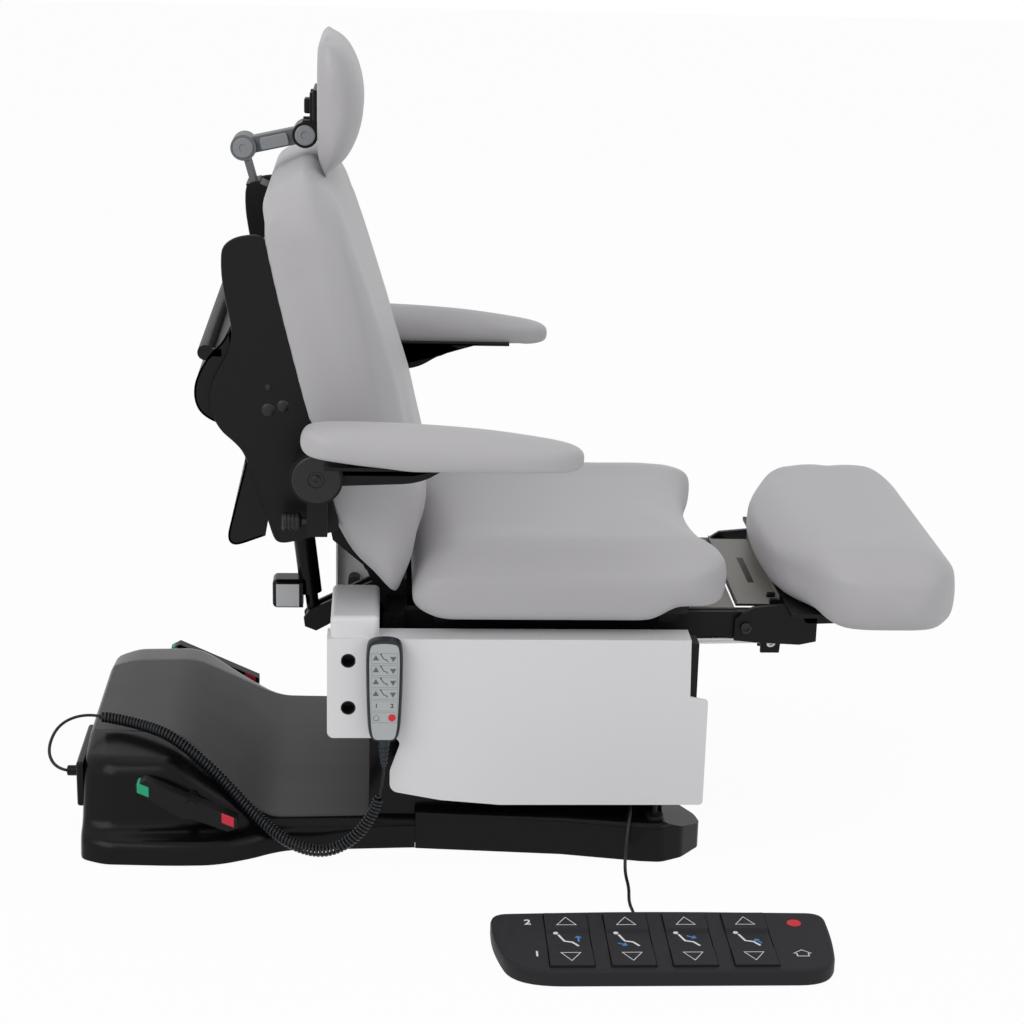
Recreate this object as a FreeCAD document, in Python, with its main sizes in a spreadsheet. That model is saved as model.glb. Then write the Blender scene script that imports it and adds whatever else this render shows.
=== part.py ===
import FreeCAD, Part
import math
import os
import Sketcher
from FreeCAD import Placement, Rotation, Vector

# A powered examination chair in millimetres: +Z up, +X towards the foot end,
# +Y towards the patient's left, with the origin on the floor under the lift column.
# The back is raised, the leg section level and the lift at its lowest.

doc = FreeCAD.newDocument("examination_chair")
sheet = doc.addObject("Spreadsheet::Sheet", "Sizes")

SIZES = (
    # floor plate and base covers
    ("plate_thick", 8), ("floor_gap", 3), ("cut_over", 5), ("slip", 0.3), ("fit", 0.05),
    ("base_rear", -645), ("base_seam", -145), ("base_nose", 291), ("base_margin", 23),
    ("hump_height", 150), ("housing_wall", 6), ("deck_thick", 3), ("deck_inset", 2),
    ("leg_height", 65), ("leg_nose_height", 40), ("leg_slope_start", 230), ("leg_wall", 4),
    ("leg_round", 9), ("cover_gap", 0.5),
    ("leveller_x", 216), ("leveller_radius", 13), ("leveller_cap", 6),
    ("spindle_radius", 4), ("spindle_top", 112),
    ("skirt_rear", -215), ("skirt_front", 235), ("skirt_top", 246),
    ("skirt_wall", 4), ("deck_level", 50),
    ("gland_x", 180), ("gland_z", 80), ("gland_radius", 7), ("gland_length", 12),
    # telescopic lift column
    ("column_half", 80), ("column_wall", 6), ("column_slip", 0.4), ("column_top", 300),
    ("column_step", 4), ("column_head", 318),
    # electrics in the base
    ("box_rear", -614), ("box_front", -532), ("box_half", 118), ("box_top", 60), ("box_round", 6),
    ("panel_thick", 11), ("panel_low", 58), ("panel_high", 130), 
    ("socket_radius", 9), ("socket_deep", 6), ("inlet_width", 28), ("inlet_height", 20),
    ("plug_radius", 8), ("plug_length", 16), ("plug_z", 108),
    # caster pedals and drop frame
    ("shaft_x", -478), ("shaft_z", 92), ("shaft_radius", 8), 
    ("pedal_rear", -560), ("pedal_front", -410),
    ("pedal_high", 124), ("pedal_low", 55),
    ("cam_radius", 36), ("cam_throw", 23), ("cam_angle", 20), 
    ("lug_thick", 8), ("lug_half", 15), ("shaft_hole", 12),
    ("drop_low", 30), ("drop_high", 42),
    ("drop_rear", -604), ("drop_front", 206), ("bridge_low", 64.5), ("bridge_high", 72.5),
    ("bridge_front", -540), ("riser_x", -512), ("cam_pad", 46.8), ("tie_x", -190), ("tie_width", 18),
    ("post_radius", 6), ("post_top", 43), ("post_rear_x", -400), ("post_front_x", 60),
    ("caster_x", -562), ("caster_radius", 25), ("caster_width", 20),
    ("caster_trail", 16), ("caster_height", 26.5), ("fork_wall", 4), ("fork_top", 64),
    ("stem_radius", 6), ("stem_top", 84), ("nut_radius", 10), ("caster_hole", 47), ("axle_radius", 4),
    ("roller_x", 184), ("roller_radius", 18), ("roller_width", 16), ("roller_height", 19.5),
    ("hanger_low", 13),
    # foot control
    ("control_x", 196), ("control_y", -580), ("control_width", 476), ("control_depth", 176),
    ("control_height", 24), ("control_corner", 46), ("control_edge", 4),
    ("rocker_width", 60), ("rocker_depth", 148), ("rocker_pitch", 84), ("rocker_shift", -6),
    ("rocker_well", 9),
    ("rocker_rise", 3), ("rocker_thick", 7), ("rocker_dip", 2), ("rocker_pin", 2), ("rocker_end", 46),
    ("rocker_gap", 1.2),
    # carriage, shroud and handset
    ("beam_inner", 196), ("beam_outer", 226), ("beam_low", 250), ("beam_rear", -186), ("beam_front", 228),
    ("head_plate", 8), ("cross_low", 276), ("cross_near", 100), ("cross_far", 140), ("web_half", 110),
    ("head_half_x", 145), ("head_half_y", 115), ("tilt_x", -180), ("tilt_z", 345), ("tilt_inner", 181),
    ("tilt_plate", 8),
    ("tab_length", 40), ("tab_low", 296), ("tab_high", 312), ("tab_x", 150), ("corner_post_x", 257),
    ("corner_post_width", 12), ("corner_post_low", 262),
    ("corner_post_high", 350), ("corner_post_inner", 250),
    ("shroud_half", 290), ("shroud_sheet", 3), ("shroud_top", 357), ("shroud_bottom", 93),
    ("shroud_rear", -277), ("shroud_front", 286), ("shroud_tail", 201),
    ("shroud_flange", 45), ("shroud_bend", 10),
    ("shroud_return", 24), ("port_radius", 11), ("port_x", -246), ("port_high", 323), ("port_low", 249),
    ("cheek_rear", -272), ("cheek_front", -201), ("cheek_inner", 140), ("cheek_step", 4),
    ("cheek_top", 390),
    ("cheek_round", 8),
    ("handset_x", -193), ("handset_width", 54), ("handset_low", 204), ("handset_high", 364),
    ("handset_thick", 25), ("handset_round", 9), ("face_inset", 7), ("face_deep", 1.2),
    ("relief_radius", 9), ("relief_tip", 6), ("relief_length", 43), ("relief_groove", 1.6),
    # seat frame and cushion
    ("rail_inner", 160), ("rail_outer", 180), ("rail_low", 322), ("rail_high", 362), ("rail_rear", -194),
    ("rail_front", 372), ("cross_width", 30), ("cross_half", 226), ("member_low", 330), ("member_gap", 4),
    ("member_mid", 155), ("member_front", 290), ("tube_rear", -120), ("tube_mid", 22), ("tube_front", 215),
    ("board_low", 383), ("board_thick", 12),
    ("back_x", -212), ("back_z", 418), ("ear_inner", 104), ("ear_thick", 10), ("ear_radius", 15),
    ("pin_radius", 8), ("pin_length", 34), ("pin_head", 3),
    ("seat_half", 285), ("seat_rear", -166), ("seat_front", 331), ("seat_low", 395), ("seat_high", 482),
    ("seat_lean", 36), ("seat_notch", 46), ("board_inset", 36),
    ("leg_x", 353), ("leg_z", 340), ("apron_half", 168), ("apron_rear", 250), ("apron_front", 338),
    ("apron_sheet", 3),
    # leg section
    ("arm_plate", 8), ("leg_bracket_low", 312), ("leg_bracket_high", 378), ("leg_tip", 520),
    ("pan_low", 374), ("pan_thick", 6), ("pan_rear", 412), ("pan_front", 640), ("pan_half", 240),
    ("flap_front", 408), ("slot_half", 60), ("slot_width", 10),
    ("leg_pad_rear", 388), ("leg_pad_front", 668), ("leg_pad_half", 292), ("leg_pad_high", 478),
    ("leg_pad_bow", 22), ("flap_gap", 1),
    # actuators
    ("tube_radius", 17), ("tube_bore", 8.3), ("rod_radius", 8), ("eye_radius", 14), ("eye_half", 10),
    ("pivot_radius", 6), ("yoke_gap", 0.6), ("yoke_plate", 7), ("yoke_radius", 18),
    ("motor_width", 44), ("motor_low", 305), ("motor_high", 352), ("motor_front", -322),
    ("motor_rear", -370), ("motor_round", 8),
    ("back_drive_x", -305), ("back_drive_z", 285), ("back_drive_top_x", -365), ("back_drive_top_z", 800),
    ("back_tube", 300), ("back_rod", 290), ("back_neck", 42), ("leg_rod", 238), ("tilt_rod", 165),
    ("leg_neck", 26), ("leg_drive_x", 40), ("leg_drive_z", 298), ("leg_drive_end_x", 398),
    ("leg_drive_end_z", 305),
    ("leg_drive_y", -140), ("leg_tube", 205), ("tilt_drive_x", 150), ("tilt_drive_z", 105),
    ("tilt_drive_top_x", 170), ("tilt_drive_top_z", 300), ("tilt_drive_y", 130), ("tilt_tube", 150),
    # back section
    ("plane_x", -254), ("plane_z", 531), ("plane_top_x", -357), ("plane_top_z", 1013),
    ("plane_foot", 122.7), ("lug_foot", 3.4), ("lug_out", 17.5), ("lug_bend", 60),
    ("side_half", 270), ("side_thick", 8), ("side_top", 954), ("side_bottom", 491), ("side_rear", -448),
    ("side_front", -256),
    ("side_bend", 26), ("cover_sheet", 3), ("cover_rear", -478), ("cover_front", -360), ("cover_low", 488),
    ("cover_high", 926), ("cover_slot", 32),
    ("pan_sheet", 4), ("back_pan_low", 140), ("back_pan_high", 592), ("low_beam", 165), ("high_beam", 395),
    ("back_pan_half", 225),
    ("beam_size", 30), ("lug_inner", 115), ("lug_plate", 10),
    ("roll_x", -448), ("roll_z", 775), ("roll_radius", 11), ("roll_reach", 23),
    ("cushion_half", 272), ("cushion_top", 640), ("cushion_depth", 126), ("cushion_corner", 95),
    ("socket_low", -138), ("socket_high", -52), ("socket_wall", 6),
    # headrest
    ("post_x", -380), ("post_z", 929), ("knuckle_x", -407), ("knuckle_z", 1028), ("post_thick", 8),
    ("post_half", 22),
    ("post_tail", 190), ("knuckle_radius", 19), ("knuckle_half", 24), ("link_half", 13), ("link_thick", 24),
    ("wrist_x", -316), ("wrist_z", 1048), ("head_top", 1207), ("head_bottom", 990), ("head_half", 140),
    ("head_back", -296), ("head_depth", 66), ("stem_plate", 8),
    # arms
    ("hub_x", -290), ("hub_z", 617), ("hub_radius", 37.5), ("mount_radius", 33), ("mount_out", 318),
    ("hub_out", 350),
    ("spigot_radius", 12), ("boss_low", 522), ("boss_width", 29), ("plunger_z", 541), ("plunger_radius", 5),
    ("plunger_knob", 14), ("knob_rear", -340), ("knob_thick", 6),
    ("arm_rear", -311), ("arm_front", 81), ("arm_y", 386), ("arm_half", 46), ("arm_low", 655),
    ("arm_high", 698),
    ("strut_inner", 330), ("strut_thick", 10), ("strut_low", 619), ("strut_front", -72), ("tray_thick", 5),
    ("tray_half", 34),
    # cords
    ("coil_radius", 7), ("coil_wire", 2.4), ("foot_cord_radius", 2.5), ("cord_step", 28), ("cord_shift", 5),
)

COIL_TURNS = 40
CORD_SIDES = 4
LONG_RUN_SHARE = 0.45
CORNER_LIMIT_SHARE = 0.9
MID = 0.5


class Size:
    """A length together with the sheet expression that gives it."""

    def __init__(self, value, text):
        self.value = float(value)
        self.text = text

    def __float__(self):
        return self.value

    def __add__(self, other):
        return combine(self, "+", other)

    def __radd__(self, other):
        return combine(other, "+", self)

    def __sub__(self, other):
        return combine(self, "-", other)

    def __rsub__(self, other):
        return combine(other, "-", self)

    def __mul__(self, other):
        return combine(self, "*", other)

    def __rmul__(self, other):
        return combine(other, "*", self)

    def __truediv__(self, other):
        return combine(self, "/", other)

    def __neg__(self):
        return Size(-self.value, "(0 - " + self.text + ")")


def text_of(size):
    return size.text if isinstance(size, Size) else repr(float(size))


def combine(left, sign, right):
    a, b = float(left), float(right)
    value = {"+": a + b, "-": a - b, "*": a * b, "/": a / b if b else 0}[sign]
    return Size(value, "(" + text_of(left) + " " + sign + " " + text_of(right) + ")")


class Named:
    """The sheet's cells as sizes, by alias."""


S = Named()
for row, (alias, number) in enumerate(SIZES, start=1):
    sheet.set("A" + str(row), alias)
    sheet.set("B" + str(row), str(number))
    sheet.setAlias("B" + str(row), alias)
doc.recompute()
for alias, number in SIZES:
    setattr(S, alias, Size(sheet.get(alias), "Sizes." + alias))

# The base is a little wider than the shroud, and what stands across it keeps its share of the half width.
S.base_half = S.shroud_half + S.base_margin
S.cheek_outer = S.shroud_half - S.cheek_step
ACROSS_SHARES = (
    ("skirt_half", 0.7412), ("leveller_y", 0.8818), ("shaft_half", 0.9361), ("pedal_inner", 0.8626),
    ("pedal_outer", 0.9297), ("cam_inner", 0.6486), ("cam_outer", 0.6933), ("lug_y", 0.4790),
    ("drop_inner", 0.6390), ("drop_outer", 0.7029), ("bridge_inner", 0.5623), ("bridge_outer", 0.7987),
    ("arm_inner", 0.5112), ("arm_outer", 0.6326), ("caster_y", 0.6805), ("roller_y", 0.7412),
    ("panel_left", -0.2300), ("panel_right", -0.7093), ("plug_y", -0.6390),
)
for alias, share in ACROSS_SHARES:
    setattr(S, alias, S.base_half * share)

NODES = []


def node(item):
    """Mark an object as a piece of the chair that is written out under its label."""
    NODES.append(item)
    return item


def bind(item, prop, size):
    item.setExpression(prop, text_of(size))


def point(x, y, z):
    return Vector(float(x), float(y), float(z))


def ordered(low, high):
    return (low, high) if float(low) <= float(high) else (high, low)


def mirrored(side, low, high):
    """A span across Y on one side of the chair: side is -1 for the right and 1 for the left."""
    return ordered(low * side, high * side)


def box(name, x, y, z):
    item = doc.addObject("Part::Box", name)
    for prop, axis, span in zip(("Length", "Width", "Height"), "xyz", (x, y, z)):
        low, high = ordered(*span)
        bind(item, prop, high - low)
        bind(item, "Placement.Base." + axis, low)
    return item


TURNS = {"x": Rotation(Vector(0, 1, 0), 90), "y": Rotation(Vector(1, 0, 0), -90), "z": Rotation()}


def cylinder(name, axis, radius, start, length):
    item = doc.addObject("Part::Cylinder", name)
    bind(item, "Radius", radius)
    bind(item, "Height", length)
    item.Placement = Placement(Vector(), TURNS[axis])
    for letter, place in zip("xyz", start):
        bind(item, "Placement.Base." + letter, place)
    return item


def cross_pin(name, radius, x, z, y_low, y_high):
    low, high = ordered(y_low, y_high)
    return cylinder(name, "y", radius, (x, low, z), high - low)


def fuse(name, parts):
    item = doc.addObject("Part::MultiFuse", name)
    item.Shapes = parts
    item.Refine = True
    return item


def cut(name, base, tools):
    item = doc.addObject("Part::Cut", name)
    item.Base = base
    item.Tool = tools[0] if len(tools) == 1 else fuse(name + "_tools", tools)
    item.Refine = True
    return item


def group(name, parts):
    item = doc.addObject("Part::Compound", name)
    item.Links = parts
    return item


def feature(name, shape):
    item = doc.addObject("Part::Feature", name)
    item.Shape = shape
    item.Placement = Placement()
    return item


def rounded(name, base, radius, chooser):
    """Round the edges of a finished solid that chooser picks."""
    doc.recompute()
    item = doc.addObject("Part::Fillet", name)
    item.Base = base
    picked = [i for i, edge in enumerate(base.Shape.Edges, start=1) if chooser(edge)]
    item.Edges = [(i, float(radius), float(radius)) for i in picked]
    return item


PLANES = {"xy": "XY_Plane", "xz": "XZ_Plane", "yz": "YZ_Plane"}
OFFSETS = {"xy": "z", "xz": "y", "yz": "x"}


def slab(name, plane, corners, span, rounds=None):
    """A sketched outline padded across a span; rounds maps corner numbers to bend radii."""
    body = doc.addObject("PartDesign::Body", name)
    sketch = body.newObject("Sketcher::SketchObject", name + "_outline")
    origin = [f for f in body.Origin.OriginFeatures if f.Role == PLANES[plane]][0]
    sketch.AttachmentSupport = (origin, [""])
    sketch.MapMode = "FlatFace"
    count = len(corners)
    places = [Vector(float(u), float(v), 0) for u, v in corners]
    for i in range(count):
        sketch.addGeometry(Part.LineSegment(places[i], places[(i + 1) % count]), False)
    for i in range(count):
        sketch.addConstraint(Sketcher.Constraint("Coincident", i, 2, (i + 1) % count, 1))
    for i, (u, v) in enumerate(corners):
        for kind, size in (("DistanceX", u), ("DistanceY", v)):
            number = sketch.addConstraint(Sketcher.Constraint(kind, -1, 1, i, 1, float(size)))
            sketch.setExpression("Constraints[" + str(number) + "]", text_of(size))
    low, high = ordered(*span)
    pad = body.newObject("PartDesign::Pad", name + "_pad")
    pad.Profile = sketch
    bind(pad, "Length", high - low)
    if rounds:
        doc.recompute()
        bend_corners(body, pad, name, plane, places, rounds)
    bind(body, "Placement.Base." + OFFSETS[plane], high if plane == "xz" else low)
    return body


def sketch_place(plane, spot):
    return {"xy": (spot.x, spot.y), "xz": (spot.x, spot.z), "yz": (spot.y, spot.z)}[plane]


def bend_corners(body, pad, name, plane, places, rounds):
    """Round the padded edges that stand on the numbered corners, one fillet per radius."""
    base = pad
    by_radius = {}
    for corner, radius in rounds.items():
        by_radius.setdefault(text_of(radius), (radius, []))[1].append(places[corner])
    for step, (radius, spots) in enumerate(by_radius.values()):
        names = []
        for i, edge in enumerate(base.Shape.Edges, start=1):
            ends = [sketch_place(plane, vertex.Point) for vertex in edge.Vertexes]
            for spot in spots:
                near = [math.hypot(u - spot.x, v - spot.y) < float(S.fit) for u, v in ends]
                if len(near) == 2 and all(near):
                    names.append("Edge" + str(i))
        fillet = body.newObject("PartDesign::Fillet", name + "_bend" + str(step))
        fillet.Base = (base, names)
        bind(fillet, "Radius", radius)
        doc.recompute()
        base = fillet


def shares_outline(shares, u_low, u_high, v_low, v_high):
    """Corners given as shares of the two sizes that the outline fills."""
    return [(u_low + (u_high - u_low) * u, v_low + (v_high - v_low) * v) for u, v in shares]


def polygon(points):
    return Part.makePolygon(points + points[:1])


# Each station of the rear housing: its place along the housing, then half widths as shares of
# the base's half width and rises as shares of the hump's height, from the deck edge outwards.
HOUSING_SHARES = (
    (0.000, 0.415, 0.960, 0.677, 0.880, 0.805, 0.307, 0.882, 0.904),
    (0.050, 0.479, 1.000, 0.767, 0.933, 0.869, 0.307, 0.958, 0.981),
    (0.282, 0.502, 1.000, 0.783, 0.933, 0.856, 0.293, 0.974, 1.000),
    (0.410, 0.639, 0.672, 0.786, 0.627, 0.843, 0.280, 0.965, 0.994),
    (0.538, 0.776, 0.340, 0.789, 0.320, 0.818, 0.267, 0.882, 0.904),
    (0.592, 0.776, 0.333, 0.786, 0.313, 0.805, 0.267, 0.827, 0.837),
    (1.000, 0.754, 0.333, 0.767, 0.313, 0.783, 0.267, 0.799, 0.805),
)
LEDGE_SHARE = 0.233


def housing_section(row, wall, x, floor):
    """One closed cross-section of the rear housing, drawn in by a wall thickness."""
    _, deck, deck_rise, ridge, ridge_rise, foot, foot_rise, ledge, skirt = row
    half = []
    for width, rise in ((deck, deck_rise), (ridge, ridge_rise), (foot, foot_rise), (ledge, LEDGE_SHARE)):
        half.append((S.base_half * width - wall, S.hump_height * rise - wall))
    half.append((S.base_half * skirt - wall, floor))
    right = [point(x, -y, z) for y, z in half]
    left = [point(x, y, z) for y, z in reversed(half)]
    return polygon(right + left)


def station(row):
    return S.base_rear + (S.base_seam - S.base_rear) * row[0]


def deck_section(row, x, lift):
    half = S.base_half * row[1] - S.deck_inset
    top = S.hump_height * row[2]
    low = top - S.deck_thick
    high = top + lift
    return polygon([point(x, -half, low), point(x, half, low), point(x, half, high), point(x, -half, high)])


def deck_loft(lift):
    rows = HOUSING_SHARES[1:-1]
    sections = [deck_section(row, station(row), lift) for row in rows]
    sections.append(deck_section(rows[-1], S.skirt_rear - S.cover_gap, lift))
    return Part.makeLoft(sections, True, True)


def make_rear_housing():
    outer = Part.makeLoft([housing_section(r, 0, station(r), S.floor_gap) for r in HOUSING_SHARES], True,
                          True)
    inner_rows = [(r, station(r)) for r in HOUSING_SHARES[1:-1]]
    inner_rows.insert(0, (HOUSING_SHARES[0], S.base_rear + S.housing_wall))
    inner_rows.append((HOUSING_SHARES[-1], S.base_seam + S.cut_over))
    inner = Part.makeLoft([housing_section(r, S.housing_wall, x, -S.cut_over) for r, x in inner_rows],
                          True, True)
    shell = outer.cut(inner).cut(deck_loft(S.cut_over))
    bore = Part.makeCylinder(float(S.shaft_hole), float(2 * S.shaft_half),
                             point(S.shaft_x, -S.shaft_half, S.shaft_z), Vector(0, 1, 0))
    node(feature("rear_housing", shell.cut(bore)))
    node(feature("deck_panel", deck_loft(0)))


PLATE_SHARES = (
    (0.020, 0.88), (0.220, 0.89), (0.330, 0.72), (0.530, 0.72), (0.730, 0.80),
    (0.930, 0.92), (0.960, 0.80), (0.945, 0.68), (0.820, 0.54), (0.800, 0.00),
)


def make_base_plate():
    right = shares_outline([(u, -v) for u, v in PLATE_SHARES], S.base_rear, S.base_nose, 0, S.base_half)
    left = shares_outline([(u, v) for u, v in PLATE_SHARES[-2::-1]], S.base_rear, S.base_nose, 0,
                          S.base_half)
    sheet_metal = slab("floor_sheet", "xy", right + left, (0, S.plate_thick))
    below, above = -S.cut_over, S.plate_thick + S.cut_over
    holes = []
    extras = [sheet_metal]
    for side, tag in ((-1, "right"), (1, "left")):
        hole_start = (S.caster_x, S.caster_y * side, below)
        holes.append(cylinder("caster_hole_" + tag, "z", S.caster_hole, hole_start, above - below))
        well_x = (S.roller_x - S.roller_radius - S.cut_over, S.roller_x + S.roller_radius + S.cut_over)
        well_y = mirrored(side, S.drop_inner - S.cut_over, S.roller_y + S.roller_width)
        holes.append(box("roller_well_" + tag, well_x, well_y, (below, above)))
        lug_x = (S.shaft_x - S.lug_half, S.shaft_x + S.lug_half)
        lug_y = mirrored(side, S.lug_y, S.lug_y + S.lug_thick)
        extras.append(box("lug_" + tag, lug_x, lug_y, (S.plate_thick, S.shaft_z + S.lug_half)))
        holes.append(cross_pin("lug_bore_" + tag, S.shaft_radius + S.fit, S.shaft_x, S.shaft_z,
                               (S.lug_y - S.cut_over) * side, (S.lug_y + S.lug_thick + S.cut_over) * side))
        for x, end in ((S.post_rear_x, "rear"), (S.post_front_x, "front")):
            start = (x, (S.drop_inner + S.drop_outer) * (MID * side), 0)
            extras.append(cylinder("guide_post_" + end + "_" + tag, "z", S.post_radius, start, S.post_top))
        extras.append(leveller(side, tag))
    node(cut("base_plate", fuse("base_weldment", extras), holes))


LEG_OUTER_SHARES = ((0.000, 0.805), (0.505, 0.872), (0.780, 0.949), (0.849, 0.958), (0.924, 0.905),
                    (1.000, 0.780))
LEG_INNER_SHARES = ((0.985, 0.700), (0.900, 0.607), (0.550, 0.500), (0.000, 0.480))
LEG_CAVITY_SHARES = ((0.970, 0.785), (0.955, 0.715), (0.885, 0.630))
LEG_CAVITY_END_SHARE = 0.83
PLATE_RELIEF_SHARE = 0.56
PLATE_RELIEF_END_SHARE = 0.65


def leg_cover(side, tag):
    start = S.base_seam + S.cover_gap
    outline = shares_outline(LEG_OUTER_SHARES + LEG_INNER_SHARES, start, S.base_nose, 0, S.base_half * side)
    bends = {3: S.leg_round * 3, 4: S.leg_round * 3, 5: S.leg_round * 2, 6: S.leg_round * 2,
             7: S.leg_round * 3}
    solid = slab("leg_solid_" + tag, "xy", outline, (S.floor_gap, S.leg_height), bends)
    doc.recompute()

    def top_outer(edge):
        spots = [v.Point for v in edge.Vertexes]
        return all(abs(p.z - float(S.leg_height)) < float(S.fit) for p in spots) and \
            max(p.x for p in spots) - float(start) > float(S.fit)

    soft = rounded("leg_soft_" + tag, solid, S.leg_round, top_outer)
    wedge = slab("leg_wedge_" + tag, "xz",
                 [(S.leg_slope_start, S.leg_height), (S.base_nose + S.cut_over, S.leg_nose_height),
                  (S.base_nose + S.cut_over, S.leg_height + S.cut_over),
                  (S.leg_slope_start, S.leg_height + S.cut_over)],
                 mirrored(side, 0, S.base_half + S.cut_over))
    length = S.base_nose - start
    outer = [(along, half, -1) for along, half in LEG_OUTER_SHARES[:4]]
    inner = [(along, half, 1) for along, half in LEG_INNER_SHARES[1:]]

    def inside(rows):
        spots = []
        for along, half, sign in rows:
            x = start + length * along if along else start - S.cut_over
            spots.append((x, (S.base_half * half + S.leg_wall * sign) * side))
        return spots

    end = (LEG_CAVITY_END_SHARE, LEG_OUTER_SHARES[3][1], -1)
    turn = (LEG_CAVITY_END_SHARE, LEG_INNER_SHARES[1][1], 1)
    deep = slab("leg_deep_" + tag, "xy", inside(outer[:3] + [end, turn] + inner[1:]),
                (-S.cut_over, S.leg_height - S.leg_wall * 2))
    nose = [(along, half, 0) for along, half in LEG_CAVITY_SHARES]
    shallow = slab("leg_shallow_" + tag, "xy", inside(outer + nose + inner[1:]),
                   (-S.cut_over, S.leg_nose_height - S.leg_wall * 2))
    relief = box("leg_relief_" + tag, (start - S.cut_over, start + length * PLATE_RELIEF_END_SHARE),
                 mirrored(side, 0, S.base_half * PLATE_RELIEF_SHARE), (0, S.plate_thick + S.slip))
    hole = cylinder("leg_hole_" + tag, "z", S.spindle_radius + S.slip,
                    (S.leveller_x, S.leveller_y * side, 0), S.leg_height + S.cut_over)
    return cut("leg_cover_" + tag, soft, [wedge, deep, shallow, relief, hole])


def leveller(side, tag):
    y = S.leveller_y * side
    spindle = cylinder("spindle_" + tag, "z", S.spindle_radius, (S.leveller_x, y, S.plate_thick),
                       S.spindle_top - S.plate_thick)
    cap = cylinder("spindle_cap_" + tag, "z", S.leveller_radius, (S.leveller_x, y, S.leg_height + S.slip),
                   S.leveller_cap)
    return fuse("leveller_" + tag, [spindle, cap])


def make_leg_covers():
    node(group("leg_covers", [leg_cover(-1, "right"), leg_cover(1, "left")]))


def tube_box(name, x, y, z, wall):
    """A rectangular tube, open above and below."""
    outer = box(name + "_outer", x, y, z)
    inner = box(name + "_inner", (x[0] + wall, x[1] - wall), (y[0] + wall, y[1] - wall),
                (z[0] - S.cut_over, z[1] + S.cut_over))
    return cut(name + "_tube", outer, [inner])


def make_lift_skirt():
    low = S.leg_height + S.cover_gap
    across = (-S.skirt_half, S.skirt_half)
    walls = [tube_box("skirt", (S.skirt_rear, S.skirt_front), across, (low, S.skirt_top), S.skirt_wall)]
    foot = (S.deck_level + S.cover_gap, low)
    walls.append(box("skirt_rear_foot", (S.skirt_rear, S.skirt_rear + S.skirt_wall), across, foot))
    for side, tag in ((-1, "right"), (1, "left")):
        span = mirrored(side, S.skirt_half - S.skirt_wall, S.skirt_half)
        walls.append(box("skirt_foot_" + tag, (S.skirt_rear, S.base_seam - S.cover_gap), span, foot))
    walls.append(cylinder("foot_cord_gland", "y", S.gland_radius,
                          (S.gland_x, -S.skirt_half - S.gland_length, S.gland_z), S.gland_length))
    node(fuse("lift_skirt", walls))


def column(name, inset, low, high):
    half = S.column_half - inset
    tube = tube_box(name, (-half, half), (-half, half), (low, high), S.column_wall)
    doc.recompute()

    def outer_corner(edge):
        a, b = edge.Vertexes[0].Point, edge.Vertexes[-1].Point
        reach = abs(abs(a.x) - float(half)) < float(S.fit) and abs(abs(a.y) - float(half)) < float(S.fit)
        return reach and abs(a.z - b.z) > float(S.column_wall)

    return node(rounded(name, tube, S.column_wall, outer_corner))


def make_lift_column():
    nest = S.column_wall + S.column_slip
    column("lift_column_outer", 0 * nest, S.plate_thick, S.column_top)
    column("lift_column_middle", nest, S.plate_thick + S.slip, S.column_top + S.column_step)
    column("lift_column_inner", 2 * nest, S.plate_thick + 2 * S.slip, S.column_head)


def make_electrics():
    case = box("control_case", (S.box_rear, S.box_front), (-S.box_half, S.box_half),
               (S.plate_thick, S.box_top))
    doc.recompute()
    top = float(S.box_top)
    node(rounded("control_box", case, S.box_round,
                 lambda e: max(v.Point.z for v in e.Vertexes) > top - float(S.fit)))
    face = S.base_rear - S.panel_thick
    plate = box("panel_plate", (face, S.base_rear), (S.panel_right, S.panel_left),
                (S.panel_low, S.panel_high))
    doc.recompute()
    rear = float(face)
    soft = rounded("panel_soft", plate, S.panel_thick * 0.4,
                   lambda e: min(v.Point.x for v in e.Vertexes) < rear + float(S.fit))
    step = (S.panel_left - S.panel_right) / 4
    sockets = []
    for i in (1, 2):
        sockets.append(cylinder("socket_" + str(i), "x", S.socket_radius,
                                (face, S.panel_right + step * (i + 0.5), S.plug_z),
                                S.socket_deep))
    mid = S.panel_left - step * 0.7
    inlet_z = S.panel_low + S.inlet_height
    sockets.append(box("inlet_recess", (face, face + S.socket_deep),
                       (mid - S.inlet_width * MID, mid + S.inlet_width * MID),
                       (inlet_z - S.inlet_height * MID, inlet_z + S.inlet_height * MID)))
    node(cut("connector_panel", soft, sockets))
    body = cylinder("plug_body", "x", S.plug_radius, (face - S.plug_length, S.plug_y, S.plug_z),
                    S.plug_length)
    node(rounded("handset_plug", body, S.plug_radius * 0.3,
                 lambda e: e.Vertexes[0].Point.x < rear - float(S.plug_length) * MID
                 and len(e.Vertexes) == 1))


PEDAL_SHARES = ((0.00, 0.86), (0.00, 1.00), (0.10, 1.12), (1.00, 0.22), (1.00, 0.00), (0.90, -0.08),
                (0.55, 0.22), (0.45, 0.22))


def make_pedals():
    parts = [cross_pin("pedal_shaft", S.shaft_radius, S.shaft_x, S.shaft_z, -S.shaft_half, S.shaft_half)]
    drop = math.radians(float(S.cam_angle))
    for side, tag in ((-1, "right"), (1, "left")):
        outline = shares_outline(PEDAL_SHARES, S.pedal_rear, S.pedal_front, S.pedal_low, S.pedal_high)
        parts.append(slab("pedal_" + tag, "xz", outline, mirrored(side, S.pedal_inner, S.pedal_outer)))
        cam_x = S.shaft_x - S.cam_throw * math.cos(drop)
        cam_z = S.shaft_z - S.cam_throw * math.sin(drop)
        parts.append(cross_pin("cam_" + tag, S.cam_radius, cam_x, cam_z, S.cam_inner * side,
                               S.cam_outer * side))
    node(fuse("pedal_bar", parts))


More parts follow.
